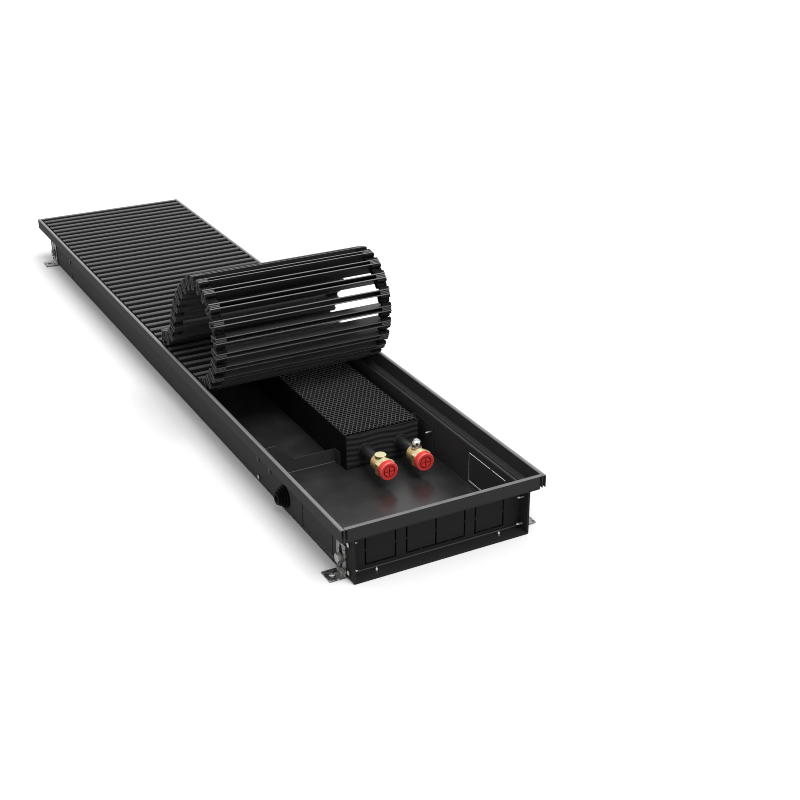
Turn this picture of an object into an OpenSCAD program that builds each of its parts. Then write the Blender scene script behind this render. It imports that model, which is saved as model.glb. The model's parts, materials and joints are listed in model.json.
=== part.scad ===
// Trench convector heater: an open steel trough that is let into a floor, a finned water
// heat exchanger inside it, and a linked roll-up grille whose near third is rolled back.
// X runs along the trough towards its connection end, Y across it and Z up. The origin is
// the middle of the trough's underside. Lengths are in millimetres, angles in degrees.

/* [Trough] */
// Length over the rims of the two ends
trough_l = 1200; // [900:1:2400]
// Width over the two long rims
trough_w = 256; // [240:1:400]
// Height of the rims above the surface the trough stands on
trough_h = 75; // [72:1:150]
// Thickness of the folded steel sheet
sheet_t = 1.2; // [0.8:0.1:1.5]
// Inside radius of the folds
bend_r = 0.8; // [0.4:0.1:1]
// Width of the rim band that shows round the grille
rim_w = 5; // [4.8:0.1:10]
// Depth of the rim's outer skirt
skirt_h = 16; // [10:0.5:17]
// Width of the ledge that the grille lies on
ledge_w = 12; // [10:0.5:16]
// How far the rims stand out past the trough's floor at each end
end_overhang = 5; // [4.8:0.1:10]
// How far each end panel stands back from the end of the floor
panel_inset = 18.3; // [16:0.1:24]
// How much shorter than the rim each end skirt stops, on each side
skirt_cut = 3; // [1:0.5:6]
// Thickness of the soft strips on the ledge
strip_t = 1.2; // [0.8:0.1:2]
// Width of the soft strips
strip_w = 8; // [5:0.5:9]

/* [Knock-outs] */
// Width of the slits round a knock-out
slit_w = 1.5; // [1:0.1:1.9]
// Width of the small bridges that hold a knock-out
bridge_w = 2; // [2:0.1:4]
// Side of the square knock-outs in the end panels
panel_ko = 38.4; // [30:0.1:40]
// Clear width between a middle and an outer knock-out
panel_ko_gap = 11.6; // [4:0.1:14]
// Height of the knock-outs' lower edge in the end panels
panel_ko_z = 8; // [6:0.5:12]
// Length of the knock-outs in the long walls
wall_ko_l = 80; // [50:1:90]
// Height of the knock-outs in the long walls
wall_ko_h = 39; // [30:1:42]
// Height of the long walls' knock-outs above the underside
wall_ko_z = 6; // [5:0.5:9]
// Distance of the long walls' knock-outs from the end of the trough
wall_ko_inset = 55; // [50:1:80]

/* [Grille] */
// Distance between the slats' centres
slat_pitch = 19.3; // [18:0.1:21]
// Width of a slat
slat_w = 8; // [7:0.1:9]
// Height of a slat
slat_h = 18; // [17:0.1:20]
// Wall of a slat's open profile
slat_t = 1.4; // [1:0.1:1.8]
// Radius of a slat's top edges
slat_r = 1.6; // [0.5:0.1:2.4]
// Gap between a slat's end and the recess wall
slat_side_gap = 1.4; // [0.8:0.1:2.5]
// Gap under a slat that lies on the strip or on the grille
rest_gap = 0.3; // [0.2:0.05:0.5]

/* [Links] */
// Length of a link block along the slat
link_l = 14; // [13:0.5:16]
// Height of the slat that stays whole above its link blocks
link_cap_h = 4.6; // [4:0.1:4.9]
// Radius of a link's knuckle
knuckle_r = 4; // [3.5:0.1:4]
// Width of the single knuckle between the two ears
tongue_w = 5.6; // [5:0.1:6]
// Side gap on each side of the single knuckle
knuckle_gap = 0.3; // [0.2:0.05:0.4]
// Radius of the hinge pins
pin_r = 1.5; // [1.2:0.1:1.8]
// Clearance of a pin in the ears that hold it
pin_hold = 0.02; // [0.01:0.01:0.03]
// Running clearance of a pin in the single knuckle
pin_run = 0.06; // [0.04:0.01:0.09]
// Clearance of a link block in its slat
link_fit = 0.15; // [0.1:0.05:0.3]

/* [Roll] */
// Turn of each joint where the roll leaves the flat grille
foot_turn = 13.26; // [13:0.02:13.5]
// Turn of each joint over the crown of the roll
crown_turn = 19.3; // [19:0.1:19.6]

/* [Exchanger] */
// Distance from the near end panel to the exchanger
conn_space = 213.7; // [180:0.1:260]
// Distance from the far end panel to the exchanger
far_space = 80; // [60:1:120]
// Width of the exchanger over its side plates
exch_w = 102; // [90:1:110]
// Gap between the exchanger and the right wall
exch_gap = 12.8; // [8:0.1:20]
// Height of the exchanger's top above the underside
exch_top = 48; // [44:0.5:52]
// Gap between the fins and the trough's floor
fin_lift = 1.8; // [1:0.1:4]
// Distance between fins
fin_pitch = 5; // [4:0.1:8]
// Thickness of a fin
fin_t = 0.3; // [0.2:0.05:0.5]
// Thickness of the exchanger's side and tube plates
plate_t = 1; // [0.8:0.1:2]
// Outside radius of the water tubes
tube_r = 7.5; // [6:0.1:9]
// Wall of the water tubes
tube_t = 1; // [0.7:0.1:1.5]
// Distance between the two water tubes
tube_spread = 50; // [40:1:60]
// Height of the water tubes' axes above the underside
tube_z = 24; // [20:0.5:28]
// Clearance of a tube in a fin, a plate or a valve
tube_fit = 0.05; // [0.02:0.01:0.1]

/* [Supports] */
// Thickness of the sheet of the exchanger's supports
support_t = 1.5; // [1:0.1:2.5]
// Distance of the supports from the exchanger's ends
support_inset = 30; // [25:1:60]
// Height of a support's tab at the wall
tab_h = 41; // [38:0.5:44]
// Width of that tab
tab_w = 24; // [15:0.5:35]
// Width over which the tab slopes down
tab_slope = 24; // [10:0.5:35]
// Height of the support's low arm
arm_h = 18; // [12:0.5:24]
// Length of the supports' flange along the wall
flange_l = 46; // [42:0.5:60]
// Length of the flange on the exchanger's side plate
inner_flange_l = 14; // [8:0.5:25]

/* [Valves] */
// Free length of the tubes between the exchanger and the valves
stub_l = 33; // [20:0.5:40]
// Radius of the valve's round body
valve_r = 10; // [9.5:0.1:11.5]
// Length of the round body
valve_l = 13; // [11:0.5:16]
// Radius of the neck before the hexagon
neck_r = 9.4; // [8:0.1:9.4]
// Length of the neck
neck_l = 3; // [2:0.1:5]
// Width across the flats of the hexagon
hex_af = 23; // [22:0.5:26]
// Length of the hexagon
hex_l = 8; // [7:0.5:14]
// Radius of the pipe socket in the hexagon
socket_r = 9.3; // [8.8:0.1:9.6]
// Depth of the pipe socket
socket_l = 7; // [5:0.5:7.5]
// Depth to which the water tube enters the valve
tube_seat_l = 5; // [3:0.5:7]
// Radius of the waterway
water_r = 5.5; // [4.5:0.1:6]
// Radius of the upright port
port_r = 6.4; // [6:0.1:7]
// Height of the port's mouth above the tube's axis
port_h = 11; // [10.8:0.1:13]
// Distance of the port's axis from the valve's exchanger side
port_x = 8.6; // [7:0.1:8.7]
// Radius of the hole in the port
port_hole_r = 4.5; // [4:0.1:5]
// Depth to which plug and vent enter the port
port_seat_l = 3; // [2:0.1:3.2]
// Radius of the plug's flat head
plug_r = 7.2; // [6:0.1:8]
// Height of the plug's flat head
plug_h = 1.8; // [1:0.1:3]
// Radius of the protective caps
cap_r = 12; // [11:0.1:13]
// Thickness of the caps' heads
cap_h = 8; // [6:0.5:12]
// Wall of the caps' hollow stems
cap_wall = 1.6; // [1:0.1:2.5]
// Clearance of caps, plug and vent in their holes
turn_fit = 0.08; // [0.05:0.01:0.1]

/* [Air vent] */
// Radius of the vent's round collar
vent_r = 6.6; // [5.5:0.1:7.5]
// Height of the round collar
vent_collar_h = 3.4; // [2:0.1:5]
// Radius of the faceted knob over its corners
knob_r = 6.2; // [5:0.1:7]
// Height of the faceted knob
knob_h = 5.2; // [3:0.1:7]

/* [Cable grommet] */
// Radius of the hole in the wall that holds the grommet
grommet_hole_r = 10; // [8:0.1:12]
// Radius of the grommet's outer flange
grommet_r = 13.5; // [12.6:0.1:15]
// Thickness of one step of the grommet
grommet_step = 3; // [2:0.1:3.5]
// Radius of the cable's hole
cable_r = 4; // [3:0.1:5]
// Distance of the grommet from the near end of the trough
grommet_inset = 182; // [165:1:220]
// Height of the grommet's axis
grommet_z = 20.8; // [18:0.1:30]

/* [Foot brackets] */
// Width of a foot bracket along the trough
foot_w = 22; // [18:0.5:30]
// Thickness of a foot bracket
foot_t = 2; // [1.5:0.1:3]
// Inside radius of the bracket's fold
foot_bend_r = 1; // [0.5:0.1:2]
// Height of the bracket's upright plate
foot_h = 40; // [38:0.5:48]
// Reach of the bracket's foot from the wall
foot_reach = 21; // [19:0.5:30]
// Distance of the brackets from the trough's ends
foot_inset = 32; // [31:0.5:60]
// Distance of the foot's hole from the wall
foot_hole_y = 13; // [9:0.5:16]
// Radius of the foot's hole
foot_hole_r = 3.25; // [2.5:0.05:4.5]
// Width of the upright slot
foot_slot_w = 6.6; // [6.4:0.1:8]
// Height of the slot's lower end
foot_slot_z0 = 7; // [5:0.5:9]
// Height of the slot's upper end
foot_slot_z1 = 37; // [35:0.5:37]
// Sliding gap on each side of the bracket's plate
foot_gap = 0.2; // [0.1:0.05:0.4]

/* [Fasteners] */
// Height of the clamp bolts
bolt_z = 21; // [18:0.5:24]
// Radius of the clamp bolts' shanks
bolt_r = 3; // [2.5:0.1:3.1]
// Width across the flats of the bolts' heads and nuts
bolt_af = 10; // [9:0.5:11]
// Height of the bolts' heads
bolt_head_h = 4; // [3:0.1:5]
// Height of the nuts
nut_h = 5; // [3:0.1:6]
// Radius of the washers
washer_r = 6.5; // [6.2:0.1:8]
// Thickness of the washers
washer_t = 1.2; // [0.8:0.1:1.8]
// Length that a bolt shows past its nut
bolt_end = 1.5; // [1:0.1:4]
// Radius of the sheet-metal screws
screw_r = 1.9; // [1.5:0.1:2.2]
// Radius of the screws' heads
screw_head_r = 3.6; // [3:0.1:4.2]
// Height of the screws' heads
screw_head_h = 2; // [1:0.1:3]
// Length of the screws under the head
screw_l = 12; // [8:0.5:12]
// Length of the screws' points
screw_tip = 3; // [1:0.1:4]
// Clearance of bolts and screws in their holes
screw_fit = 0.1; // [0.05:0.01:0.2]
// Distance of the end panels' screws from the end of the floor
panel_screw_inset = 11; // [7:0.5:11.5]
// Height of the lower side screws of the end panels
panel_screw_z0 = 9.3; // [8:0.1:11]
// Height of the upper side screws of the end panels
panel_screw_z1 = 44.2; // [40:0.1:47]
// Distance of the floor screws from the trough's middle line
floor_screw_y = 78; // [40:1:90]
// Length of the floor screws
floor_screw_l = 9; // [6:0.5:12]
// Height of the supports' lower wall screws
support_screw_z0 = 8.5; // [7:0.1:12]
// Height of the supports' upper wall screws
support_screw_z1 = 33; // [28:0.1:36]
// Distance of the first pair of wall screws from the support's plate
support_screw_x0 = 6; // [5.2:0.1:10]
// Distance of the single wall screw from the support's plate
support_screw_x1 = 41; // [20:0.5:42]

/* [Hidden] */
$fn = 48;

// Overrun of every cut past the face that it opens
over = 1;

// Shares of sizes
screw_crown_share = 0.7;
screw_point_share = 0.25;
cap_stem_share = 0.8;
cap_hollow_share = 1 / 3;
cap_ring_share = 0.64;
cap_groove_share = 0.09;
cap_cross_share = 1.2;
knob_edge_share = 0.85;
knob_top_share = 0.5;
knob_point_share = 0.3;
grommet_shares = [1, 0.86, 0.72, 0.58];
grommet_inner_share = 0.9;
ko_bridge_shares = [[0, 0.5], [1, 0.5], [0.5, 0], [0.5, 1]];
wall_ko_bridge_shares = [[0, 0.5], [1, 0.5], [0.6, 1], [0.4, 0]];

// Colours
c_housing = [0.10, 0.10, 0.105];
c_slat = [0.20, 0.20, 0.205];
c_link = [0.30, 0.30, 0.30];
c_fin = [0.12, 0.12, 0.12];
c_steel = [0.68, 0.68, 0.66];
c_brass = [0.80, 0.66, 0.34];
c_red = [0.88, 0.14, 0.13];
c_rubber = [0.05, 0.05, 0.05];
c_chrome = [0.88, 0.88, 0.90];

// Places in the trough
half_l = trough_l / 2;
half_w = trough_w / 2;
recess_y = half_w - rim_w;
wall_y = recess_y - ledge_w;
wall_in = wall_y - sheet_t;
recess_h = slat_h + rest_gap + strip_t;
ledge_z = trough_h - recess_h;
skirt_z = trough_h - skirt_h;
body_x = half_l - end_overhang;
panel_x = body_x - panel_inset;
tray_z = sheet_t + sheet_t / 2;

// Places of the exchanger
exch_x1 = panel_x - conn_space;
exch_x0 = -panel_x + far_space;
exch_y1 = wall_in - exch_gap;
exch_y0 = exch_y1 - exch_w;
exch_y = (exch_y0 + exch_y1) / 2;
fin_z0 = sheet_t + fin_lift;
fin_n = floor((exch_x1 - exch_x0 - 2 * plate_t - fin_pitch) / fin_pitch);
support_x = exch_x1 - support_inset;
valve_x = exch_x1 + stub_l;
hex_x0 = valve_l + neck_l;
hex_x1 = hex_x0 + hex_l;

// Places of the feet and the grommet
foot_x = half_l - foot_inset;
foot_y0 = wall_y + foot_gap;
clamp_y = foot_y0 + foot_t + foot_gap;
grommet_x = half_l - grommet_inset;
grommet_l = sheet_t + (len(grommet_shares) + 1) * grommet_step;

// The grille: slats from the far end to the near end, the last of them on the roll
slat_n = floor(2 * body_x / slat_pitch);
roll_n = 22;
flat_n = slat_n - roll_n;
slat_l = 2 * (recess_y - slat_side_gap);
slat_z = trough_h - slat_h / 2;
link_y = slat_l / 2 - link_l / 2;
hinge_x = slat_pitch / 2;
ear_w = (link_l - tongue_w) / 2 - knuckle_gap;
function slat_x(i) = (i - (slat_n - 1) / 2) * slat_pitch;

// The roll: 22 joints in four stretches. The joints of a stretch turn alike. The turn of
// the back stretch is solved so that the free end comes to lie on the flat grille, and
// the toe stretch takes the rest of the half turn.
foot_n = 7;
crown_n = 6;
back_n = 6;
toe_n = roll_n - foot_n - crown_n - back_n;
function toe_turn(back) =
    (180 - foot_n * foot_turn - crown_n * crown_turn - back_n * back) / toe_n;
function turn_at(i, back) =
    i < foot_n ? foot_turn
    : i < foot_n + crown_n ? crown_turn
    : i < foot_n + crown_n + back_n ? back
    : toe_turn(back);
function roll_path(back, i = 0, x = 0, z = 0, a = 0) =
    i == roll_n ? []
    : let (
        b = a + turn_at(i, back),
        nx = x + hinge_x * (cos(a) + cos(b)),
        nz = z + hinge_x * (sin(a) + sin(b))
    ) concat([[nx, nz, b]], roll_path(back, i + 1, nx, nz, b));
function free_end_error(back) = roll_path(back)[roll_n - 1][1] - slat_h - rest_gap;
function solve_back(lo, hi, steps = 40) =
    let (mid = (lo + hi) / 2)
    steps == 0 ? mid
    : (free_end_error(mid) > 0) == (free_end_error(lo) > 0) ? solve_back(mid, hi, steps - 1)
    : solve_back(lo, mid, steps - 1);
back_turn = solve_back(0, 12);
roll = roll_path(back_turn);

// A sheet of thickness t folded along a path of right-angled corners, as a 2D outline
function unit(v) = v / norm(v);
module folded_sheet(path, t, r) {
    mid_r = r + t / 2;
    last = len(path) - 1;
    for (i = [0 : last - 1]) {
        u = unit(path[i + 1] - path[i]);
        n = [-u[1], u[0]] * t / 2;
        a = path[i] + u * (i > 0 ? mid_r : 0);
        b = path[i + 1] - u * (i < last - 1 ? mid_r : 0);
        polygon([a - n, b - n, b + n, a + n]);
    }
    for (i = [1 : last - 1]) {
        u = unit(path[i] - path[i - 1]);
        v = unit(path[i + 1] - path[i]);
        c = path[i] + (v - u) * mid_r;
        reach = mid_r + t;
        intersection() {
            difference() {
                translate(c) circle(mid_r + t / 2);
                translate(c) circle(mid_r - t / 2);
            }
            polygon([c, c + u * reach, c + (u - v) * reach, c - v * reach]);
        }
    }
}

// The slits round a knock-out of l by h, with its corner at the origin and small bridges
module slit_frame(l, h, bridge_shares) {
    bridge = max(bridge_w, slit_w);
    difference() {
        square([l, h]);
        translate([slit_w, slit_w]) square([l - 2 * slit_w, h - 2 * slit_w]);
        for (b = bridge_shares)
            translate([
                slit_w / 2 + b[0] * (l - slit_w) - bridge / 2,
                slit_w / 2 + b[1] * (h - slit_w) - bridge / 2
            ]) square(bridge);
    }
}

// Puts a copy at each end, turned so that +X points out of the trough
module at_ends() {
    for (e = [0, 1]) rotate([0, 0, e * 180]) children();
}

// Places of the clamp bolts, the end panels' side screws and the supports' wall screws,
// each with +Z pointing out of the wall
module at_clamps() {
    for (e = [-1, 1], s = [-1, 1])
        translate([e * foot_x, s * wall_y, bolt_z]) rotate([-s * 90, 0, 0]) children();
}
module at_panel_screws() {
    for (e = [-1, 1], s = [-1, 1], z = [panel_screw_z0, panel_screw_z1])
        translate([e * (body_x - panel_screw_inset), s * wall_y, z])
            rotate([-s * 90, 0, 0]) children();
}
module at_floor_screws() {
    for (e = [-1, 1], s = [-1, 1])
        translate([e * (body_x - panel_screw_inset), s * floor_screw_y, 0]) children();
}
module at_near_support_screws() {
    for (p = [
        [support_screw_x0, support_screw_z0],
        [support_screw_x0, support_screw_z1],
        [support_screw_x1, support_screw_z1]
    ], s = [-1, 1])
        translate([support_x + p[0], s * wall_y, p[1]]) rotate([-s * 90, 0, 0]) children();
}
module at_far_support_screws() {
    for (z = [support_screw_z0, support_screw_z1], s = [-1, 1])
        translate([exch_x0 + support_inset - support_screw_x0, s * wall_y, z])
            rotate([-s * 90, 0, 0]) children();
}

// Trough: one folded sheet, with rims, ledges, knock-outs and holes
module trough_pan() {
    side_path = [
        [half_w - sheet_t / 2, skirt_z],
        [half_w - sheet_t / 2, trough_h - sheet_t / 2],
        [recess_y + sheet_t / 2, trough_h - sheet_t / 2],
        [recess_y + sheet_t / 2, ledge_z - sheet_t / 2],
        [wall_y - sheet_t / 2, ledge_z - sheet_t / 2],
        [wall_y - sheet_t / 2, sheet_t / 2]
    ];
    path = concat(
        [for (i = [0 : len(side_path) - 1]) [-side_path[i][0], side_path[i][1]]],
        [for (i = [len(side_path) - 1 : -1 : 0]) side_path[i]]
    );
    color(c_housing) difference() {
        translate([-half_l, 0, 0]) rotate([90, 0, 90])
            linear_extrude(trough_l) folded_sheet(path, sheet_t, bend_r);
        // Floor, walls and ledges stop short of the rims at both ends
        at_ends() translate([body_x, -half_w - over, -over])
            cube([end_overhang + over, trough_w + 2 * over, skirt_z + over]);
        // Knock-outs for pipes in the long walls
        for (s = [-1, 1])
            translate([half_l - wall_ko_inset - wall_ko_l, s * wall_y, wall_ko_z])
                rotate([90, 0, 0])
                    linear_extrude(2 * (sheet_t + over), center = true)
                        slit_frame(wall_ko_l, wall_ko_h, wall_ko_bridge_shares);
        // Holes for the grommet, the clamp bolts and the screws
        translate([grommet_x, -wall_y - over, grommet_z]) rotate([-90, 0, 0])
            cylinder(r = grommet_hole_r, h = sheet_t + 2 * over);
        at_clamps() translate([0, 0, -sheet_t - over])
            cylinder(r = bolt_r + screw_fit, h = sheet_t + 2 * over);
        at_panel_screws() screw_hole();
        at_near_support_screws() screw_hole();
        at_far_support_screws() screw_hole();
        at_floor_screws() sunk_screw_shape(screw_fit, over);
    }
}

// End panel: a tray with the knock-outs, its flanges outwards, and the end's rim above it
module end_panel() {
    inner_y = wall_in - screw_fit;
    rim_y = recess_y - screw_fit;
    path = [
        [body_x, tray_z],
        [panel_x - sheet_t / 2, tray_z],
        [panel_x - sheet_t / 2, ledge_z - sheet_t / 2],
        [body_x + sheet_t / 2, ledge_z - sheet_t / 2],
        [body_x + sheet_t / 2, trough_h - sheet_t / 2],
        [half_l - sheet_t / 2, trough_h - sheet_t / 2],
        [half_l - sheet_t / 2, skirt_z]
    ];
    color(c_housing) difference() {
        union() {
            rotate([90, 0, 0]) linear_extrude(2 * rim_y, center = true)
                folded_sheet(path, sheet_t, bend_r);
            // Side flanges that the screws hold to the long walls
            for (s = [-1, 1])
                translate([
                    panel_x - sheet_t / 2,
                    s * (inner_y - sheet_t / 2) - sheet_t / 2,
                    tray_z
                ]) cube([panel_inset + sheet_t / 2, sheet_t, ledge_z - 2 * sheet_t]);
        }
        // Room for the fold between the trough's floor and its walls
        for (s = [-1, 1])
            translate([panel_x - sheet_t - over, s * wall_in, sheet_t]) rotate([0, 90, 0])
                cylinder(r = bend_r + screw_fit, h = panel_inset + sheet_t + 2 * over);
        // Below the recess the tray fits between the walls
        for (s = [-1, 1])
            translate([
                panel_x - sheet_t - over,
                s > 0 ? inner_y : -rim_y - over,
                -over
            ]) cube([
                half_l - panel_x + sheet_t + 2 * over,
                rim_y - inner_y + over,
                ledge_z + screw_fit + over
            ]);
        // The skirt stops before the corners
        for (s = [-1, 1])
            translate([
                half_l - sheet_t - over / 2,
                s > 0 ? half_w - rim_w - skirt_cut : -rim_y - over,
                skirt_z - over
            ]) cube([sheet_t + over, skirt_cut + over, skirt_h + over - sheet_t - bend_r]);
        // Knock-outs: the middle two share a slit
        for (y = [
            -panel_ko + slit_w / 2,
            -slit_w / 2,
            panel_ko + panel_ko_gap,
            -2 * panel_ko - panel_ko_gap
        ]) translate([panel_x - sheet_t - over, y, panel_ko_z])
            rotate([90, 0, 90]) linear_extrude(sheet_t + 2 * over)
                slit_frame(panel_ko, panel_ko, ko_bridge_shares);
        at_panel_screws() screw_hole();
        at_floor_screws() sunk_screw_shape(screw_fit, over);
    }
}
module near_end_panel() { end_panel(); }
module far_end_panel() { rotate([0, 0, 180]) end_panel(); }

// Sheet-metal screw with its head above z = 0 and its point below
module tapping_screw(length) {
    color(c_steel) {
        cylinder(r1 = screw_head_r, r2 = screw_head_r * screw_crown_share, h = screw_head_h);
        translate([0, 0, screw_tip - length]) cylinder(r = screw_r, h = length - screw_tip);
        translate([0, 0, -length])
            cylinder(r1 = screw_r * screw_point_share, r2 = screw_r, h = screw_tip);
    }
}
module screw_hole() {
    translate([0, 0, -2 * sheet_t - support_t - over])
        cylinder(r = screw_r + screw_fit, h = 2 * sheet_t + support_t + 2 * over);
}

// Countersunk screw that points up from z = 0, grown by a clearance for its hole
module sunk_screw_shape(gap, below) {
    translate([0, 0, -below])
        cylinder(r = screw_head_r + gap, h = below + gap);
    cylinder(r1 = screw_head_r + gap, r2 = screw_r + gap, h = sheet_t);
    cylinder(r = screw_r + gap, h = floor_screw_l - screw_tip);
}
module sunk_screw() {
    color(c_steel) {
        cylinder(r1 = screw_head_r, r2 = screw_r, h = sheet_t);
        cylinder(r = screw_r, h = floor_screw_l - screw_tip);
        translate([0, 0, floor_screw_l - screw_tip])
            cylinder(r1 = screw_r, r2 = screw_r * screw_point_share, h = screw_tip);
    }
}
module panel_screws() {
    at_panel_screws() tapping_screw(screw_l);
    at_floor_screws() sunk_screw();
}

// Soft strips on the two ledges, under the slats' ends
module damping_strips() {
    strip_x = body_x - bend_r;
    color(c_rubber) for (s = [-1, 1])
        translate([-strip_x, s * (recess_y - ledge_w / 2) - strip_w / 2, ledge_z])
            cube([2 * strip_x, strip_w, strip_t]);
}

// Holes for the two water tubes through a plate of thickness t at x
module tube_holes(x, t) {
    for (s = [-1, 1])
        translate([x - over, exch_y + s * tube_spread / 2, tube_z]) rotate([0, 90, 0])
            cylinder(r = tube_r + tube_fit, h = t + 2 * over);
}

// Fins: upright plates threaded on the two tubes
module fin_pack() {
    pack_l = (fin_n - 1) * fin_pitch + fin_t;
    start = (exch_x0 + exch_x1 - pack_l) / 2;
    color(c_fin) for (i = [0 : fin_n - 1]) {
        x = start + i * fin_pitch;
        difference() {
            translate([x, exch_y0 + plate_t, fin_z0])
                cube([fin_t, exch_w - 2 * plate_t, exch_top - fin_z0]);
            tube_holes(x, fin_t);
        }
    }
}
module tube_plate(x) {
    color(c_housing) difference() {
        translate([x, exch_y0 + plate_t, fin_z0])
            cube([plate_t, exch_w - 2 * plate_t, exch_top - fin_z0]);
        tube_holes(x, plate_t);
    }
}
module near_tube_plate() { tube_plate(exch_x1 - plate_t); }
module far_tube_plate() { tube_plate(exch_x0); }
module side_plate(y) {
    color(c_housing) translate([exch_x0, y, sheet_t])
        cube([exch_x1 - exch_x0, plate_t, exch_top - sheet_t]);
}
module left_side_plate() { side_plate(exch_y0); }
module right_side_plate() { side_plate(exch_y1 - plate_t); }

// Water tubes from the far bend to the valves
module water_tube(s) {
    length = valve_x + tube_seat_l - exch_x0;
    color(c_housing) translate([exch_x0, exch_y + s * tube_spread / 2, tube_z])
        rotate([0, 90, 0]) difference() {
            cylinder(r = tube_r, h = length);
            translate([0, 0, -over]) cylinder(r = tube_r - tube_t, h = length + 2 * over);
        }
}
module supply_tube() { water_tube(-1); }
module return_tube() { water_tube(1); }
module return_bend() {
    color(c_housing) translate([exch_x0, exch_y, tube_z]) rotate([0, 0, 90])
        rotate_extrude(angle = 180) translate([tube_spread / 2, 0]) difference() {
            circle(tube_r);
            circle(tube_r - tube_t);
        }
}

// Support: an upright plate from a long wall to the exchanger, with a flange on each. It is
// drawn from the wall at y = 0 towards +Y, with its flanges towards +X. Its lower corner
// at the wall is cut off, for the trough's fold.
module support(span, tab, slope, flange) {
    low = min(arm_h, tab_h);
    fold = bend_r + screw_fit;
    color(c_housing) {
        rotate([90, 0, 90]) linear_extrude(support_t) polygon([
            [fold, 0],
            [span, 0],
            [span, slope > 0 ? low : tab_h],
            [min(tab + slope, span), slope > 0 ? low : tab_h],
            [min(tab, span), tab_h],
            [0, tab_h],
            [0, fold]
        ]);
        translate([0, 0, fold]) cube([flange, support_t, tab_h - fold]);
        translate([0, span - support_t, 0]) cube([inner_flange_l, support_t, low]);
    }
}
module near_left_support() {
    difference() {
        translate([support_x, -wall_in, sheet_t])
            support(wall_in + exch_y0, tab_w, tab_slope, flange_l);
        at_near_support_screws() screw_hole();
    }
}
module near_right_support() {
    difference() {
        translate([support_x, wall_in, sheet_t]) mirror([0, 1, 0])
            support(wall_in - exch_y1, exch_gap, 0, flange_l);
        at_near_support_screws() screw_hole();
    }
}
module far_left_support() {
    difference() {
        translate([exch_x0 + support_inset, -wall_in, sheet_t]) mirror([1, 0, 0])
            support(wall_in + exch_y0, tab_w, tab_slope, inner_flange_l);
        at_far_support_screws() screw_hole();
    }
}
module far_right_support() {
    difference() {
        translate([exch_x0 + support_inset, wall_in, sheet_t]) mirror([1, 0, 0])
            mirror([0, 1, 0]) support(wall_in - exch_y1, exch_gap, 0, inner_flange_l);
        at_far_support_screws() screw_hole();
    }
}
module support_screws() {
    at_near_support_screws() tapping_screw(screw_l);
    at_far_support_screws() tapping_screw(screw_l);
}

// Valve: round body on the water tube, upright port, and a hexagon with the pipe socket.
// It is drawn along +X from its exchanger side, on the tube's axis.
module valve() {
    color(c_brass) difference() {
        union() {
            rotate([0, 90, 0]) cylinder(r = valve_r, h = valve_l);
            rotate([0, 90, 0]) cylinder(r = neck_r, h = hex_x1);
            translate([hex_x0, 0, 0]) rotate([30, 0, 0]) rotate([0, 90, 0])
                cylinder(r = hex_af / sqrt(3), h = hex_l, $fn = 6);
            translate([port_x, 0, 0]) cylinder(r = port_r, h = port_h);
        }
        translate([-over, 0, 0]) rotate([0, 90, 0])
            cylinder(r = tube_r + tube_fit, h = tube_seat_l + over);
        rotate([0, 90, 0]) cylinder(r = water_r, h = hex_x1);
        translate([hex_x1 - socket_l, 0, 0]) rotate([0, 90, 0])
            cylinder(r = socket_r, h = socket_l + over);
        translate([port_x, 0, 0]) cylinder(r = port_hole_r, h = port_h + over);
    }
}
module supply_valve() {
    translate([valve_x, exch_y - tube_spread / 2, tube_z]) valve();
}
module return_valve() {
    translate([valve_x, exch_y + tube_spread / 2, tube_z]) valve();
}

// Protective cap: a thick head with a ring and a cross pressed into its face, and a
// hollow stem in the valve's socket
module cap() {
    stem_r = socket_r - turn_fit;
    stem_l = socket_l * cap_stem_share;
    ring_r = cap_r * cap_ring_share;
    groove = cap_r * cap_groove_share;
    cross_l = ring_r * cap_cross_share;
    color(c_red) rotate([0, 90, 0]) difference() {
        union() {
            cylinder(r = cap_r, h = cap_h - groove);
            translate([0, 0, cap_h - groove])
                cylinder(r1 = cap_r, r2 = cap_r - groove, h = groove);
            translate([0, 0, -stem_l]) cylinder(r = stem_r, h = stem_l + over);
        }
        translate([0, 0, -stem_l - over])
            cylinder(r = stem_r - cap_wall, h = stem_l + over + cap_h * cap_hollow_share);
        translate([0, 0, cap_h - groove]) difference() {
            cylinder(r = ring_r, h = groove + over);
            translate([0, 0, -over]) cylinder(r = ring_r - groove, h = groove + 3 * over);
        }
        for (a = [0, 90]) rotate([0, 0, a])
            translate([-cross_l / 2, -groove / 2, cap_h - groove])
                cube([cross_l, groove, groove + over]);
    }
}
module supply_cap() {
    translate([valve_x + hex_x1 + turn_fit, exch_y - tube_spread / 2, tube_z]) cap();
}
module return_cap() {
    translate([valve_x + hex_x1 + turn_fit, exch_y + tube_spread / 2, tube_z]) cap();
}

// Plug of the supply valve's port, and the faceted vent in the return valve's port
module drain_plug() {
    translate([valve_x + port_x, exch_y - tube_spread / 2, tube_z + port_h]) color(c_brass) {
        cylinder(r = plug_r, h = plug_h);
        translate([0, 0, -port_seat_l])
            cylinder(r = port_hole_r - turn_fit, h = port_seat_l + plug_h);
    }
}
module air_vent() {
    translate([valve_x + port_x, exch_y + tube_spread / 2, tube_z + port_h + turn_fit])
        color(c_chrome) {
            cylinder(r = vent_r, h = vent_collar_h);
            translate([0, 0, -port_seat_l])
                cylinder(r = port_hole_r - turn_fit, h = port_seat_l + vent_collar_h);
            translate([0, 0, vent_collar_h]) cylinder(r = knob_r, h = knob_h, $fn = 8);
            translate([0, 0, vent_collar_h + knob_h]) cylinder(
                r1 = knob_r * knob_edge_share,
                r2 = knob_r * knob_top_share,
                h = knob_h * knob_point_share
            );
        }
}

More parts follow.
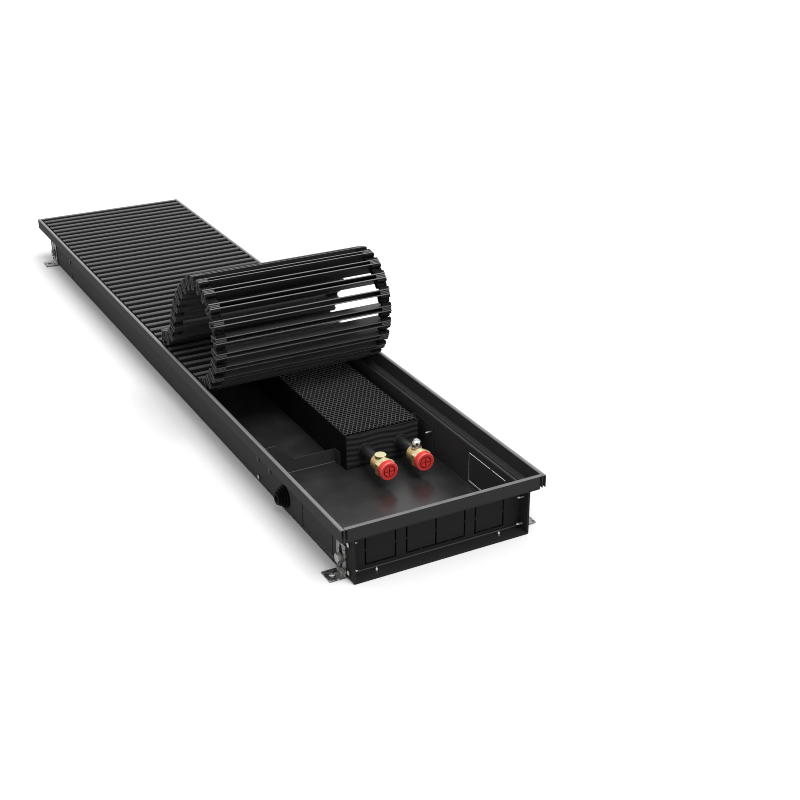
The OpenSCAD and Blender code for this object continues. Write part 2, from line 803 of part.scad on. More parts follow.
// Cable grommet: a rubber cone of steps with a groove that grips the wall's hole
module cable_grommet() {
    color(c_rubber) translate([grommet_x, -wall_y, grommet_z]) rotate([90, 0, 0]) difference() {
        union() {
            for (i = [0 : len(grommet_shares) - 1])
                translate([0, 0, i * grommet_step])
                    cylinder(r = grommet_r * grommet_shares[i], h = grommet_step);
            translate([0, 0, -sheet_t - grommet_step])
                cylinder(r = grommet_hole_r - screw_fit, h = sheet_t + 2 * grommet_step);
            translate([0, 0, -sheet_t - grommet_step])
                cylinder(r = grommet_r * grommet_inner_share, h = grommet_step);
        }
        translate([0, 0, -sheet_t - grommet_step - over])
            cylinder(r = cable_r, h = grommet_l + 2 * over);
    }
}

// Foot bracket on the left wall, drawn round x = 0: a folded angle with an upright slot
module foot_bracket() {
    plate_y = foot_y0 + foot_t / 2;
    path = [
        [-plate_y, foot_h],
        [-plate_y, foot_t / 2],
        [-wall_y - foot_reach, foot_t / 2]
    ];
    color(c_steel) difference() {
        translate([-foot_w / 2, 0, 0]) rotate([90, 0, 90])
            linear_extrude(foot_w) folded_sheet(path, foot_t, foot_bend_r);
        translate([0, -foot_y0 + over, 0]) rotate([90, 0, 0])
            linear_extrude(foot_t + 2 * over) {
                translate([-foot_slot_w / 2, foot_slot_z0 + foot_slot_w / 2])
                    square([foot_slot_w, foot_slot_z1 - foot_slot_z0 - foot_slot_w]);
                translate([0, foot_slot_z0 + foot_slot_w / 2]) circle(foot_slot_w / 2);
                translate([0, foot_slot_z1 - foot_slot_w / 2]) circle(foot_slot_w / 2);
            }
        translate([0, -wall_y - foot_hole_y, -over])
            cylinder(r = foot_hole_r, h = foot_t + 2 * over);
    }
}
module near_left_foot() { translate([foot_x, 0, 0]) foot_bracket(); }
module near_right_foot() { translate([foot_x, 0, 0]) mirror([0, 1, 0]) foot_bracket(); }
module far_left_foot() { translate([-foot_x, 0, 0]) foot_bracket(); }
module far_right_foot() { translate([-foot_x, 0, 0]) mirror([0, 1, 0]) foot_bracket(); }

// Clamp bolts that hold the brackets, with washers outside and nuts inside the walls
module clamp_bolts() {
    head_z = clamp_y - wall_y + washer_t;
    shank = head_z + sheet_t + nut_h + bolt_end;
    color(c_steel) at_clamps() translate([0, 0, head_z]) {
        cylinder(r = bolt_af / sqrt(3), h = bolt_head_h, $fn = 6);
        translate([0, 0, -shank]) cylinder(r = bolt_r, h = shank + bolt_head_h / 2);
    }
}
module clamp_washers() {
    color(c_steel) at_clamps() translate([0, 0, clamp_y - wall_y]) difference() {
        cylinder(r = washer_r, h = washer_t);
        translate([0, 0, -over]) cylinder(r = bolt_r + screw_fit, h = washer_t + 2 * over);
    }
}
module clamp_nuts() {
    color(c_steel) at_clamps() translate([0, 0, -sheet_t - nut_h]) difference() {
        cylinder(r = bolt_af / sqrt(3), h = nut_h, $fn = 6);
        translate([0, 0, -over]) cylinder(r = bolt_r + tube_fit, h = nut_h + 2 * over);
    }
}

// Slat: an open profile with rounded top edges, notched at its ends for the link blocks
module slat_profile() {
    difference() {
        union() {
            translate([-slat_w / 2, -slat_h / 2]) square([slat_w, slat_h - slat_r]);
            translate([-slat_w / 2 + slat_r, slat_h / 2 - slat_r])
                square([slat_w - 2 * slat_r, slat_r]);
            for (s = [-1, 1])
                translate([s * (slat_w / 2 - slat_r), slat_h / 2 - slat_r]) circle(slat_r);
        }
        translate([-slat_w / 2 + slat_t, -slat_h / 2 - over])
            square([slat_w - 2 * slat_t, slat_h - slat_t + over]);
    }
}
module slat() {
    notch = link_l + link_fit;
    color(c_slat) difference() {
        rotate([90, 0, 0]) linear_extrude(slat_l, center = true) slat_profile();
        for (s = [-1, 1])
            translate([
                -slat_w / 2 - over,
                s > 0 ? slat_l / 2 - notch : -slat_l / 2 - over,
                -slat_h / 2 - over
            ]) cube([slat_w + 2 * over, notch + over, slat_h - link_cap_h + over]);
    }
}

// A cylinder along Y, of length l, centred at y
module cross_bar(r, l, y = 0) {
    translate([0, y, 0]) rotate([90, 0, 0]) cylinder(r = r, h = l, center = true);
}

// Link block: a core in the slat's notch with a spigot in its profile, two ears towards
// the far neighbour and a single knuckle towards the near one
module link_block(ears = true, tongue = true) {
    core_h = slat_h - link_cap_h - link_fit;
    spigot_w = slat_w - 2 * (slat_t + link_fit);
    ear_y = (link_l - ear_w) / 2;
    color(c_link) difference() {
        union() {
            translate([-slat_w / 2, -link_l / 2, -slat_h / 2]) cube([slat_w, link_l, core_h]);
            translate([-spigot_w / 2, -link_l / 2, -slat_h / 2])
                cube([spigot_w, link_l, slat_h - slat_t - link_fit]);
            if (tongue) {
                translate([0, -tongue_w / 2, -knuckle_r])
                    cube([hinge_x, tongue_w, 2 * knuckle_r]);
                translate([hinge_x, 0, 0]) cross_bar(knuckle_r, tongue_w);
            }
            if (ears) for (s = [-1, 1]) {
                translate([-hinge_x, s * ear_y - ear_w / 2, -knuckle_r])
                    cube([hinge_x, ear_w, 2 * knuckle_r]);
                translate([-hinge_x, 0, 0]) cross_bar(knuckle_r, ear_w, s * ear_y);
            }
        }
        if (tongue) translate([hinge_x, 0, 0]) cross_bar(pin_r + pin_run, tongue_w + over);
        if (ears) translate([-hinge_x, 0, 0]) cross_bar(pin_r + pin_hold, link_l + over);
    }
}
module hinge_pin() {
    color(c_steel) translate([-hinge_x, 0, 0]) cross_bar(pin_r, link_l);
}
module at_link_rows() {
    for (s = [-1, 1]) translate([0, s * link_y, 0]) children();
}

// The part of the grille that lies flat
module flat_slats() {
    for (i = [0 : flat_n - 1]) translate([slat_x(i), 0, slat_z]) slat();
}
module flat_links() {
    for (i = [0 : flat_n - 1]) translate([slat_x(i), 0, slat_z])
        at_link_rows() link_block(ears = i > 0);
}
module flat_pins() {
    for (i = [1 : flat_n - 1]) translate([slat_x(i), 0, slat_z])
        at_link_rows() hinge_pin();
}

// One slat of the roll, counted from 1 at the flat grille, with its link blocks and pins
module roll_slat(k) {
    place = roll[k - 1];
    translate([slat_x(flat_n - 1) + place[0], 0, slat_z + place[1]])
        rotate([0, -place[2], 0]) {
            slat();
            at_link_rows() link_block(tongue = k < roll_n);
            at_link_rows() hinge_pin();
        }
}

trough_pan();
near_end_panel();
far_end_panel();
panel_screws();
damping_strips();
fin_pack();
near_tube_plate();
far_tube_plate();
left_side_plate();
right_side_plate();
supply_tube();
return_tube();
return_bend();
near_left_support();
near_right_support();
far_left_support();
far_right_support();
support_screws();
supply_valve();
return_valve();
supply_cap();
return_cap();
drain_plug();
air_vent();
cable_grommet();
near_left_foot();
near_right_foot();
far_left_foot();
far_right_foot();
clamp_bolts();
clamp_washers();
clamp_nuts();
flat_slats();
flat_links();
flat_pins();
roll_slat(1);  // roll_slat_01
roll_slat(2);  // roll_slat_02
roll_slat(3);  // roll_slat_03
roll_slat(4);  // roll_slat_04
roll_slat(5);  // roll_slat_05
roll_slat(6);  // roll_slat_06
roll_slat(7);  // roll_slat_07
roll_slat(8);  // roll_slat_08
roll_slat(9);  // roll_slat_09
roll_slat(10);  // roll_slat_10
roll_slat(11);  // roll_slat_11
roll_slat(12);  // roll_slat_12
roll_slat(13);  // roll_slat_13
roll_slat(14);  // roll_slat_14
roll_slat(15);  // roll_slat_15
roll_slat(16);  // roll_slat_16
roll_slat(17);  // roll_slat_17
roll_slat(18);  // roll_slat_18
roll_slat(19);  // roll_slat_19
roll_slat(20);  // roll_slat_20
roll_slat(21);  // roll_slat_21
roll_slat(22);  // roll_slat_22
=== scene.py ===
import json
import math

import bmesh
import bpy
import numpy as np
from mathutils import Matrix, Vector


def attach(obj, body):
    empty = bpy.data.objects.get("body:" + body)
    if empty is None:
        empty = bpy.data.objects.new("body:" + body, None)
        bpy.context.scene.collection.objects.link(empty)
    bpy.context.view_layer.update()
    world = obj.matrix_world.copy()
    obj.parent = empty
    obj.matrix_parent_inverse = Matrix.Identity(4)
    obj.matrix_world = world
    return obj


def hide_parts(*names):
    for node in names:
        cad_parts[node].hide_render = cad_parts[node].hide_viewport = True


# Looks of the trench convector heater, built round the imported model: finishes, fine
# pieces, light and camera. Blender works in metres, the pieces below are drawn in
# millimetres.

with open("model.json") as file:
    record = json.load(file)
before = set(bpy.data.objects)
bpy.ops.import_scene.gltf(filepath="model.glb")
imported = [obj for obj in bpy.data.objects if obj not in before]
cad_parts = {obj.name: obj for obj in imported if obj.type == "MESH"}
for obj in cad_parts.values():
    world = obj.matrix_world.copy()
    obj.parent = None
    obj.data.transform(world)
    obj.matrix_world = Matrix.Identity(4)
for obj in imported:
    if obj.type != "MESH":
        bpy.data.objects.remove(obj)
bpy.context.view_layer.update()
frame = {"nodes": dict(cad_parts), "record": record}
nodes = frame["nodes"]
print("frame loaded:", len(nodes), "nodes")


class Wire:
    # One socket of a shader tree. Sums, products and powers of wires add Math nodes.
    def __init__(self, tree, socket):
        self.tree = tree
        self.socket = socket

    def maths(self, operation, first, second):
        node = self.tree.nodes.new("ShaderNodeMath")
        node.operation = operation
        feed(self.tree, node.inputs[0], first)
        feed(self.tree, node.inputs[1], second)
        return Wire(self.tree, node.outputs[0])

    def __add__(self, other):
        return self.maths("ADD", self, other)

    def __sub__(self, other):
        return self.maths("SUBTRACT", self, other)

    def __rsub__(self, other):
        return self.maths("SUBTRACT", other, self)

    def __mul__(self, other):
        return self.maths("MULTIPLY", self, other)

    def __pow__(self, other):
        return self.maths("POWER", self, other)

    def atLeast(self, other):
        return self.maths("MAXIMUM", self, other)

    def atMost(self, other):
        return self.maths("MINIMUM", self, other)

    def size(self):
        return self.maths("ABSOLUTE", self, 0.0)

    __radd__ = __add__
    __rmul__ = __mul__


def feed(tree, socket, value):
    if isinstance(value, Wire):
        tree.links.new(value.socket, socket)
    else:
        socket.default_value = value


class Finish:
    # A shader tree. add() makes any node: its settings first, then its sockets.
    def __init__(self, owner):
        self.owner = owner
        owner.use_nodes = True
        self.tree = owner.node_tree
        self.tree.nodes.clear()

    def add(self, kind, settings=None, inputs=None, out=0):
        node = self.tree.nodes.new("ShaderNode" + kind)
        for name, value in (settings or {}).items():
            setattr(node, name, value)
        for name, value in (inputs or {}).items():
            feed(self.tree, node.inputs[name], value)
        return Wire(self.tree, node.outputs[out]) if len(node.outputs) else None

    def place(self):
        return self.add("TexCoord", out="Object")

    def along(self, axis):
        return self.add("SeparateXYZ", None, {"Vector": self.place()}, out=axis)

    def stretched(self, factors):
        settings = {"operation": "MULTIPLY"}
        return self.add("VectorMath", settings, {0: self.place(), 1: factors})

    # Noise from 0 to 1, with grains of the given size in metres
    def grain(self, size, detail=3.0, stretch=(1, 1, 1), rough=0.55):
        inputs = {
            "Vector": self.stretched(stretch), "Scale": 1 / size,
            "Detail": detail, "Roughness": rough,
        }
        return self.add("TexNoise", None, inputs, out="Fac")

    # Rises smoothly from 0 to 1 as the value goes from low to high
    def step(self, value, low, high):
        settings = {"interpolation_type": "SMOOTHSTEP"}
        inputs = {"Value": value, "From Min": low, "From Max": high}
        return self.add("MapRange", settings, inputs, out="Result")

    # How far the surface faces up, from 0 to 1
    def upward(self):
        normal = self.add("NewGeometry", out="Normal")
        return self.add("SeparateXYZ", None, {"Vector": normal}, out="Z").atLeast(0.0)

    # How strongly a piece's own points are marked, from 0 to 1, for wear and for painted
    # highlights
    def wearAndHighlight(self):
        return self.add("Attribute", {"attribute_name": "wearAndHighlight"}, out="Fac")

    def mix(self, share, low, high):
        settings = {"data_type": "RGBA"}
        return self.add("Mix", settings, {0: share, 6: low, 7: high}, out=2)

    def bump(self, height, depth, strength):
        inputs = {"Height": height, "Distance": depth, "Strength": strength}
        return self.add("Bump", None, inputs, out="Normal")

    def surface(self, **sockets):
        names = {
            "color": "Base Color", "rough": "Roughness", "metal": "Metallic",
            "normal": "Normal", "gloss": "Specular IOR Level", "coat": "Coat Weight",
            "coatRough": "Coat Roughness", "coatIor": "Coat IOR",
        }
        inputs = {names[key]: value for key, value in sockets.items()}
        shader = self.add("BsdfPrincipled", None, inputs)
        self.add("OutputMaterial", None, {"Surface": shader})
        return self.owner


def finish(name):
    return Finish(bpy.data.materials.new(name))


def grey(level, tint=0.0):
    return (level, level, level * (1 + tint), 1.0)


# Powder coat: fine orange peel, faint handling marks, dust, and a soft shine and painted
# shade on what faces up, a painted highlight along the rims' tops, and painted shade round
# the two ends below the rims
coatSettings = {
    "deep": 0.045, "pale": 0.054, "tint": 0.02, "marks": 0.05,
    "upper": 0.012, "upperShare": 0.7,
    "dust": 0.055, "dustSize": 0.03, "dustRange": (0.42, 0.74), "dustShare": 0.55,
    "rim": 0.29, "rimTop": 0.0738, "rimFade": 0.0001, "rimHighlightSize": 0.018, "rimHighlightLeast": 0.55,
    "end": 0.025, "endFrom": 0.576, "endFade": 0.001, "endTop": 0.056, "endDrop": 0.006,
    "rough": 0.49, "marksRough": 0.14, "dustRough": 0.1, "gloss": 0.02,
    "shine": 1.0, "shineLeast": 0.8, "shineMarks": 0.4,
    "peel": 0.0011, "peelDepth": 0.00005,
}


def powderCoat(name, **changes):
    s = dict(coatSettings, **changes)
    f = finish(name)
    marks = f.grain(s["marks"], 5, rough=0.62)
    peel = f.grain(s["peel"], 2)
    up = f.upward() ** 4
    color = f.mix(marks, grey(s["deep"]), grey(s["pale"], s["tint"]))
    # Painted shade: what faces up is darkened towards a deeper grey
    color = f.mix(up * s["upperShare"], color, grey(s["upper"]))
    dusty = up * f.step(f.grain(s["dustSize"], 6), *s["dustRange"]) * s["dustShare"]
    color = f.mix(dusty, color, grey(s["dust"]))
    # Painted highlight: the rims' tops are paled, broken up by grain
    rimHighlight = f.step(f.along("Z"), s["rimTop"], s["rimTop"] + s["rimFade"])
    rimHighlight = rimHighlight * (s["rimHighlightLeast"] + (1 - s["rimHighlightLeast"]) * f.grain(s["rimHighlightSize"], 4))
    color = f.mix(rimHighlight, color, grey(s["rim"]))
    # Painted shade: darker round both ends, below the rims
    endShade = f.step(f.along("X").size(), s["endFrom"], s["endFrom"] + s["endFade"])
    endShade = endShade * (1 - f.step(f.along("Z"), s["endTop"] - s["endDrop"], s["endTop"]))
    color = f.mix(endShade, color, grey(s["end"]))
    return f.surface(
        color=color, gloss=s["gloss"],
        rough=s["rough"] + s["marksRough"] * marks + s["dustRough"] * dusty,
        coat=up * (s["shine"] * s["shineLeast"] + s["shine"] * s["shineMarks"] * marks),
        coatRough=0.30, coatIor=1.7, normal=f.bump(peel, s["peelDepth"], 0.35),
    )


# Painted aluminium of the slats: drawn lines along each slat, rubbed patches, a painted
# highlight on what faces up, bare metal at the cut ends, and painted highlights along the
# legs' tips and the tops' edges, paler where they face up
slatSettings = {
    "deep": 0.013, "pale": 0.025, "line": 0.0005, "patch": 0.03, "lineShare": 0.6,
    "top": 0.046, "topUp": 0.7,
    "bareAndHighlight": 0.46, "bareLeast": 0.06, "bareAndHighlightUp": 0.5, "bareGrain": 0.3, "bareSize": 0.006,
    "rough": 0.45, "patchRough": 0.14, "lineSmooth": 0.05, "lineDepth": 0.00004,
    "shine": 0.252, "shineUp": (0.45, 0.85), "coatRough": 0.2, "gloss": 0.08,
}


def slatPaint(name):
    s = slatSettings
    f = finish(name)
    lines = f.grain(s["line"], 3, stretch=(1, 0.012, 1))
    patches = f.grain(s["patch"], 4, stretch=(1, 0.3, 1))
    streaks = s["lineShare"] * lines + (1 - s["lineShare"]) * patches
    color = f.mix(streaks, grey(s["deep"]), grey(s["pale"]))
    # Painted highlight: what faces up is paled towards the top grey
    color = f.mix(f.step(f.upward(), 0.0, s["topUp"]), color, grey(s["top"]))
    # Bare metal at the cut ends, and painted highlights on the legs' tips and the tops' edges,
    # paler where they face up
    spots = s["bareGrain"] * f.grain(s["bareSize"], 4, stretch=(1, 0.4, 1))
    bareAndHighlight = f.wearAndHighlight() * (s["bareLeast"] + s["bareAndHighlightUp"] * f.upward() + spots)
    color = f.mix(bareAndHighlight, color, grey(s["bareAndHighlight"]))
    facing = f.step(f.upward(), *s["shineUp"])
    return f.surface(
        color=color, gloss=s["gloss"],
        rough=s["rough"] + s["patchRough"] * patches - s["lineSmooth"] * lines,
        coat=facing * (s["shine"] + s["shine"] * patches), coatRough=s["coatRough"],
        normal=f.bump(lines, s["lineDepth"], 0.4),
    )


# Moulded plastic of the link blocks: matt, with worn pale spots, and painted highlights on
# the ridges, paler where they face up
linkSettings = {
    "deep": 0.008, "pale": 0.020, "wear": 0.004, "wearRange": (0.52, 0.70),
    "ridge": 0.24, "ridgeLeast": 0.3,
    "rough": 0.45, "roughGrain": 0.16, "roughSize": 0.006, "gloss": 0.05,
    "pore": 0.0007, "poreDepth": 0.00006,
}


def linkPlastic(name):
    s = linkSettings
    f = finish(name)
    wear = f.step(f.grain(s["wear"], 5), *s["wearRange"])
    color = f.mix(wear, grey(s["deep"]), grey(s["pale"]))
    # Painted highlight on the marked ridges, paler where they face up
    lit = s["ridgeLeast"] + (1 - s["ridgeLeast"]) * f.upward()
    color = f.mix(f.wearAndHighlight() * lit, color, grey(s["ridge"]))
    return f.surface(
        color=color, rough=s["rough"] + s["roughGrain"] * f.grain(s["roughSize"]),
        gloss=s["gloss"], normal=f.bump(f.grain(s["pore"]), s["poreDepth"], 0.5),
    )


# Fins: dark enamel, with a pale band along the top edges that is partly metal showing through
# thin enamel and partly a painted highlight
finSettings = {
    "deep": 0.008, "pale": 0.014, "streak": 0.004, "edge": 0.31, "edgeRange": (0.0472, 0.0479),
    "edgeLeast": 0.5, "edgeGrain": 0.7, "rough": 0.38, "roughGrain": 0.2, "gloss": 0.3,
    "pore": 0.0009, "poreDepth": 0.00004,
}


def finEnamel(name):
    s = finSettings
    f = finish(name)
    # Pale top band: partly thin enamel, partly painted highlight
    top = f.step(f.along("Z"), *s["edgeRange"])
    streaks = f.grain(s["streak"], 3, stretch=(1, 1, 0.2))
    color = f.mix(streaks, grey(s["deep"]), grey(s["pale"]))
    color = f.mix(top * (s["edgeLeast"] + s["edgeGrain"] * streaks), color, grey(s["edge"]))
    return f.surface(
        color=color, rough=s["rough"] + s["roughGrain"] * streaks, gloss=s["gloss"],
        normal=f.bump(f.grain(s["pore"]), s["poreDepth"], 0.4),
    )


# Zinc plate: cloudy, and painted bright and less metallic where a piece is marked, which on
# the screws' points and heads and on the slits' rings is a painted highlight
zincSettings = {
    "cloud": 0.006, "darker": 0.7, "lighter": 1.2, "bright": 0.85, "dulled": 0.6,
    "rough": 0.24, "roughGrain": 0.16, "pore": 0.0004, "poreDepth": 0.00003,
}


def zincPlate(name, tone=0.50, warm=-0.02):
    s = zincSettings
    f = finish(name)
    cloud = f.grain(s["cloud"], 4)
    color = f.mix(cloud, grey(tone * s["darker"], warm), grey(tone * s["lighter"], warm))
    # Painted highlight where the piece is marked: paler and less metallic
    color = f.mix(f.wearAndHighlight(), color, grey(s["bright"], warm))
    return f.surface(
        color=color, metal=1 - s["dulled"] * f.wearAndHighlight(), rough=s["rough"] + s["roughGrain"] * cloud,
        normal=f.bump(f.grain(s["pore"], 2), s["poreDepth"], 0.5),
    )


# Galvanised sheet: crystal spangles of different brightness and gloss, dull scratches
sheetSettings = {
    "crystal": 0.0030, "deep": 0.08, "pale": 0.42, "tint": -0.02, "metal": 0.9,
    "scratch": 0.0006, "scratchRange": (0.62, 0.7), "dent": 0.002, "depth": 0.00005,
    "rough": 0.24, "crystalRough": 0.2, "scratchRough": 0.1,
}


def galvanised(name):
    s = sheetSettings
    f = finish(name)
    cells = {"Vector": f.place(), "Scale": 1 / s["crystal"], "Randomness": 1.0}
    crystal = f.add("TexVoronoi", {"feature": "F1"}, cells, out="Color")
    spangle = f.add("SeparateXYZ", None, {"Vector": crystal})
    scratch = f.step(f.grain(s["scratch"], 2, stretch=(0.1, 1, 1)), *s["scratchRange"])
    color = f.mix(spangle, grey(s["deep"], s["tint"]), grey(s["pale"], s["tint"]))
    return f.surface(
        color=color, metal=s["metal"],
        rough=s["rough"] + s["crystalRough"] * spangle + s["scratchRough"] * scratch,
        normal=f.bump(scratch + f.grain(s["dent"]), s["depth"], 0.4),
    )


# Turned brass: fine tool rings round the tube's axis, tarnish in patches, painted shade
# below and a painted highlight on top
brassSettings = {
    "low": (0.42, 0.26, 0.11, 1), "middle": (1.0, 0.72, 0.33, 1), "high": (1.0, 0.96, 0.58, 1),
    "lowUp": (0.0, 0.55), "highUp": (0.55, 0.95),
    "tarnish": (0.80, 0.50, 0.22, 1), "patch": 0.012, "patchRange": (0.45, 0.85),
    "patchShare": 0.3, "metal": 0.1, "rough": 0.22, "patchRough": 0.12, "gloss": 0.5,
    "ring": 0.00045, "ringDepth": 0.00001,
}


def turnedBrass(name):
    s = brassSettings
    f = finish(name)
    tarnish = f.step(f.grain(s["patch"], 3), *s["patchRange"])
    rings = f.grain(s["ring"], 2, stretch=(1, 0.03, 0.03))
    up = f.upward()
    # Painted shade below and painted highlight on top, by how far the surface faces up
    color = f.mix(f.step(up, *s["lowUp"]), s["low"], s["middle"])
    color = f.mix(f.step(up, *s["highUp"]), color, s["high"])
    color = f.mix(tarnish * s["patchShare"], color, s["tarnish"])
    return f.surface(
        color=color, metal=s["metal"], rough=s["rough"] + s["patchRough"] * tarnish,
        gloss=s["gloss"], normal=f.bump(rings, s["ringDepth"], 0.3),
    )


# Red plastic: painted shade along the pressed ring and cross of the caps' faces, and a
# painted highlight on the rim
redSettings = {
    "deep": (1.0, 0.052, 0.045, 1), "pale": (1.0, 0.072, 0.064, 1), "cloud": 0.008,
    "height": 0.024, "middle": 0.046, "spread": 0.025, "ring": 0.00714, "arm": 0.0050,
    "line": 0.0005, "fade": 0.0004, "face": (0.4265, 0.4269),
    "pressed": (0.36, 0.009, 0.008, 1),
    "rim": 0.0107, "rimFace": (0.4262, 0.4266), "rimHighlightShare": 0.3, "rimHighlightColor": (1.0, 0.42, 0.40, 1),
    "rough": 0.34, "roughGrain": 0.14, "gloss": 0.5, "pore": 0.0008, "poreDepth": 0.00005,
}


def capPlastic(name):
    s = redSettings
    f = finish(name)
    cloud = f.grain(s["cloud"], 4)
    color = f.mix(cloud, s["deep"], s["pale"])
    across = (f.along("Y") - s["middle"]).size() - s["spread"]
    up = f.along("Z") - s["height"]
    radius = (across * across + up * up) ** 0.5
    band = (radius - s["ring"]).size()
    cross = across.size().atMost(up.size()).atLeast(radius - s["arm"])
    # Painted shade along the ring and cross grooves of the face
    pressed = 1 - f.step(band.atMost(cross), s["line"], s["line"] + s["fade"])
    pressed = pressed * f.step(f.along("X"), *s["face"])
    color = f.mix(pressed, color, s["pressed"])
    # Painted highlight round the face's rim
    rim = f.step(radius, s["rim"], s["rim"] + s["fade"]) * f.step(f.along("X"), *s["rimFace"])
    color = f.mix(rim * s["rimHighlightShare"], color, s["rimHighlightColor"])
    return f.surface(
        color=color, rough=s["rough"] + s["roughGrain"] * cloud, gloss=s["gloss"],
        normal=f.bump(f.grain(s["pore"]), s["poreDepth"], 0.3),
    )


# Chrome: dark smears between bright patches
chromeSettings = {
    "smear": 0.0022, "smearRange": (0.36, 0.60), "deep": 0.16, "pale": 0.95,
    "rough": 0.18, "smooth": 0.12, "pore": 0.0006, "poreDepth": 0.00002,
}


def chromePlate(name):
    s = chromeSettings
    f = finish(name)
    smears = f.step(f.grain(s["smear"], 3), *s["smearRange"])
    return f.surface(
        color=f.mix(smears, grey(s["deep"]), grey(s["pale"])), metal=1.0,
        rough=s["rough"] - s["smooth"] * smears,
        normal=f.bump(f.grain(s["pore"]), s["poreDepth"], 0.3),
    )


# Rubber and dark seals: a dull bloom in patches
rubberSettings = {
    "bloom": 0.005, "lighter": 2, "rough": 0.50, "roughGrain": 0.2,
    "pore": 0.0006, "poreDepth": 0.00008,
}


def softRubber(name, level, gloss):
    s = rubberSettings
    f = finish(name)
    bloom = f.grain(s["bloom"], 5)
    return f.surface(
        color=f.mix(bloom, grey(level), grey(level * s["lighter"])),
        rough=s["rough"] + s["roughGrain"] * bloom, gloss=gloss,
        normal=f.bump(f.grain(s["pore"]), s["poreDepth"], 0.5),
    )


coat = powderCoat("housing coat")
# Painted shade: a darker copy of the coat for the end panels
panelShadeCoat = powderCoat("end panel shade coat", deep=0.029, pale=0.037, shine=0.2)
tubeCoat = powderCoat("tube coat", deep=0.012, pale=0.018, gloss=0.9, rough=0.24, shine=1.2)
innerCoat = powderCoat(
    "exchanger coat", deep=0.023, pale=0.038, dust=0.03, gloss=0.12, shine=0.15,
)
# Painted shade: a much darker copy of the coat for the exchanger's side plates
sideShadeCoat = powderCoat(
    "side plate shade coat", deep=0.006, pale=0.009, dust=0.01, gloss=0.08, shine=0.1,
)
paint = slatPaint("slat paint")
plastic = linkPlastic("link plastic")
finCoat = finEnamel("fin enamel")
zinc = zincPlate("zinc plate")
blackZinc = zincPlate("black zinc plate", 0.22)
screwZinc = zincPlate("screw zinc", 0.05)
ventZinc = zincPlate("vent collar zinc", 0.40, 0.04)
spangled = galvanised("galvanised sheet")
brass = turnedBrass("turned brass")
red = capPlastic("red cap plastic")
chrome = chromePlate("chrome plate")
rubber = softRubber("rubber", 0.002, 0.06)
strip = softRubber("soft strip", 0.02, 0.25)
# Near black, for the painted shade at the slits
shade = softRubber("slit painted shade", 0.0004, 0.0)
print("finishes made")


class Part:
    # Points in millimetres, arrays of faces, and how strongly each point is marked, from 0 to 1,
    # for wear and for painted highlights
    def __init__(self, points, faces, wearAndHighlight=0.0):
        self.points = np.asarray(points, float)
        self.faces = faces
        self.wearAndHighlight = np.broadcast_to(wearAndHighlight, len(self.points)).astype(float)

    # Leant about Y, so that X turns towards Z by the angle, and then moved
    def placed(self, x=0.0, y=0.0, z=0.0, lean=0.0):
        px, py, pz = self.points.T
        c, s = math.cos(lean), math.sin(lean)
        points = np.stack([px * c - pz * s + x, py + y, px * s + pz * c + z], 1)
        return Part(points, self.faces, self.wearAndHighlight)

    # The axes in another order, with signs, such as X to Z
    def swapped(self, order, signs=(1, 1, 1)):
        return Part(self.points[:, order] * signs, self.faces, self.wearAndHighlight)


def joined(parts):
    faces, count = [], 0
    for part in parts:
        faces += [block + count for block in part.faces]
        count += len(part.points)
    return Part(
        np.concatenate([part.points for part in parts]), faces,
        np.concatenate([part.wearAndHighlight for part in parts]),
    )


def rounded(corners, radii, steps=3):
    # Closed outline with every corner replaced by an arc of the given radius
    points = np.asarray(corners, float)
    before = np.roll(points, 1, axis=0) - points
    after = np.roll(points, -1, axis=0) - points
    before /= np.linalg.norm(before, axis=1)[:, None]
    after /= np.linalg.norm(after, axis=1)[:, None]
    half = np.arccos(np.clip((before * after).sum(1), -1, 1)) / 2
    radius = np.broadcast_to(radii, len(points)).astype(float)
    cut = (radius / np.tan(half))[:, None]
    middle = before + after
    middle /= np.linalg.norm(middle, axis=1)[:, None]
    centre = points + middle * (radius / np.sin(half))[:, None]
    start = (points + before * cut - centre)[:, None]
    end = (points + after * cut - centre)[:, None]
    share = np.linspace(0, 1, steps + 1)[None, :, None]
    turn = (np.pi - 2 * half)[:, None, None]
    arc = (np.sin((1 - share) * turn) * start + np.sin(share * turn) * end) / np.sin(turn)
    return (centre[:, None] + arc).reshape(-1, 2)


def cutAt(outline, level):
    # The outline with a point more wherever it crosses the height
    ahead = np.roll(outline, -1, axis=0)
    crossing = (outline[:, 1] - level) * (ahead[:, 1] - level) < 0
    run = ahead[crossing] - outline[crossing]
    share = (level - outline[crossing, 1]) / run[:, 1]
    extra = outline[crossing] + run * share[:, None]
    return np.insert(outline, np.flatnonzero(crossing) + 1, extra, axis=0)


def circle(radius, count):
    angle = np.arange(count) * 2 * np.pi / count
    return np.stack([radius * np.cos(angle), radius * np.sin(angle)], 1)


def sweep(rings, wearAndHighlight=0.0, closed=False):
    # Quads between neighbouring rings of points. An open sweep is capped at both ends.
    count, size = rings.shape[:2]
    i = np.arange(count if closed else count - 1)[:, None]
    j = np.arange(size)[None, :]
    after, beside = (i + 1) % count, (j + 1) % size
    faces = [np.stack([
        i * size + j, i * size + beside, after * size + beside, after * size + j,
    ], -1).reshape(-1, 4)]
    if not closed:
        faces += [np.arange(size)[None, ::-1], (count - 1) * size + np.arange(size)[None]]
    wearAndHighlight = np.broadcast_to(wearAndHighlight, (count, size)).reshape(-1)
    return Part(rings.reshape(-1, 3), faces, wearAndHighlight)


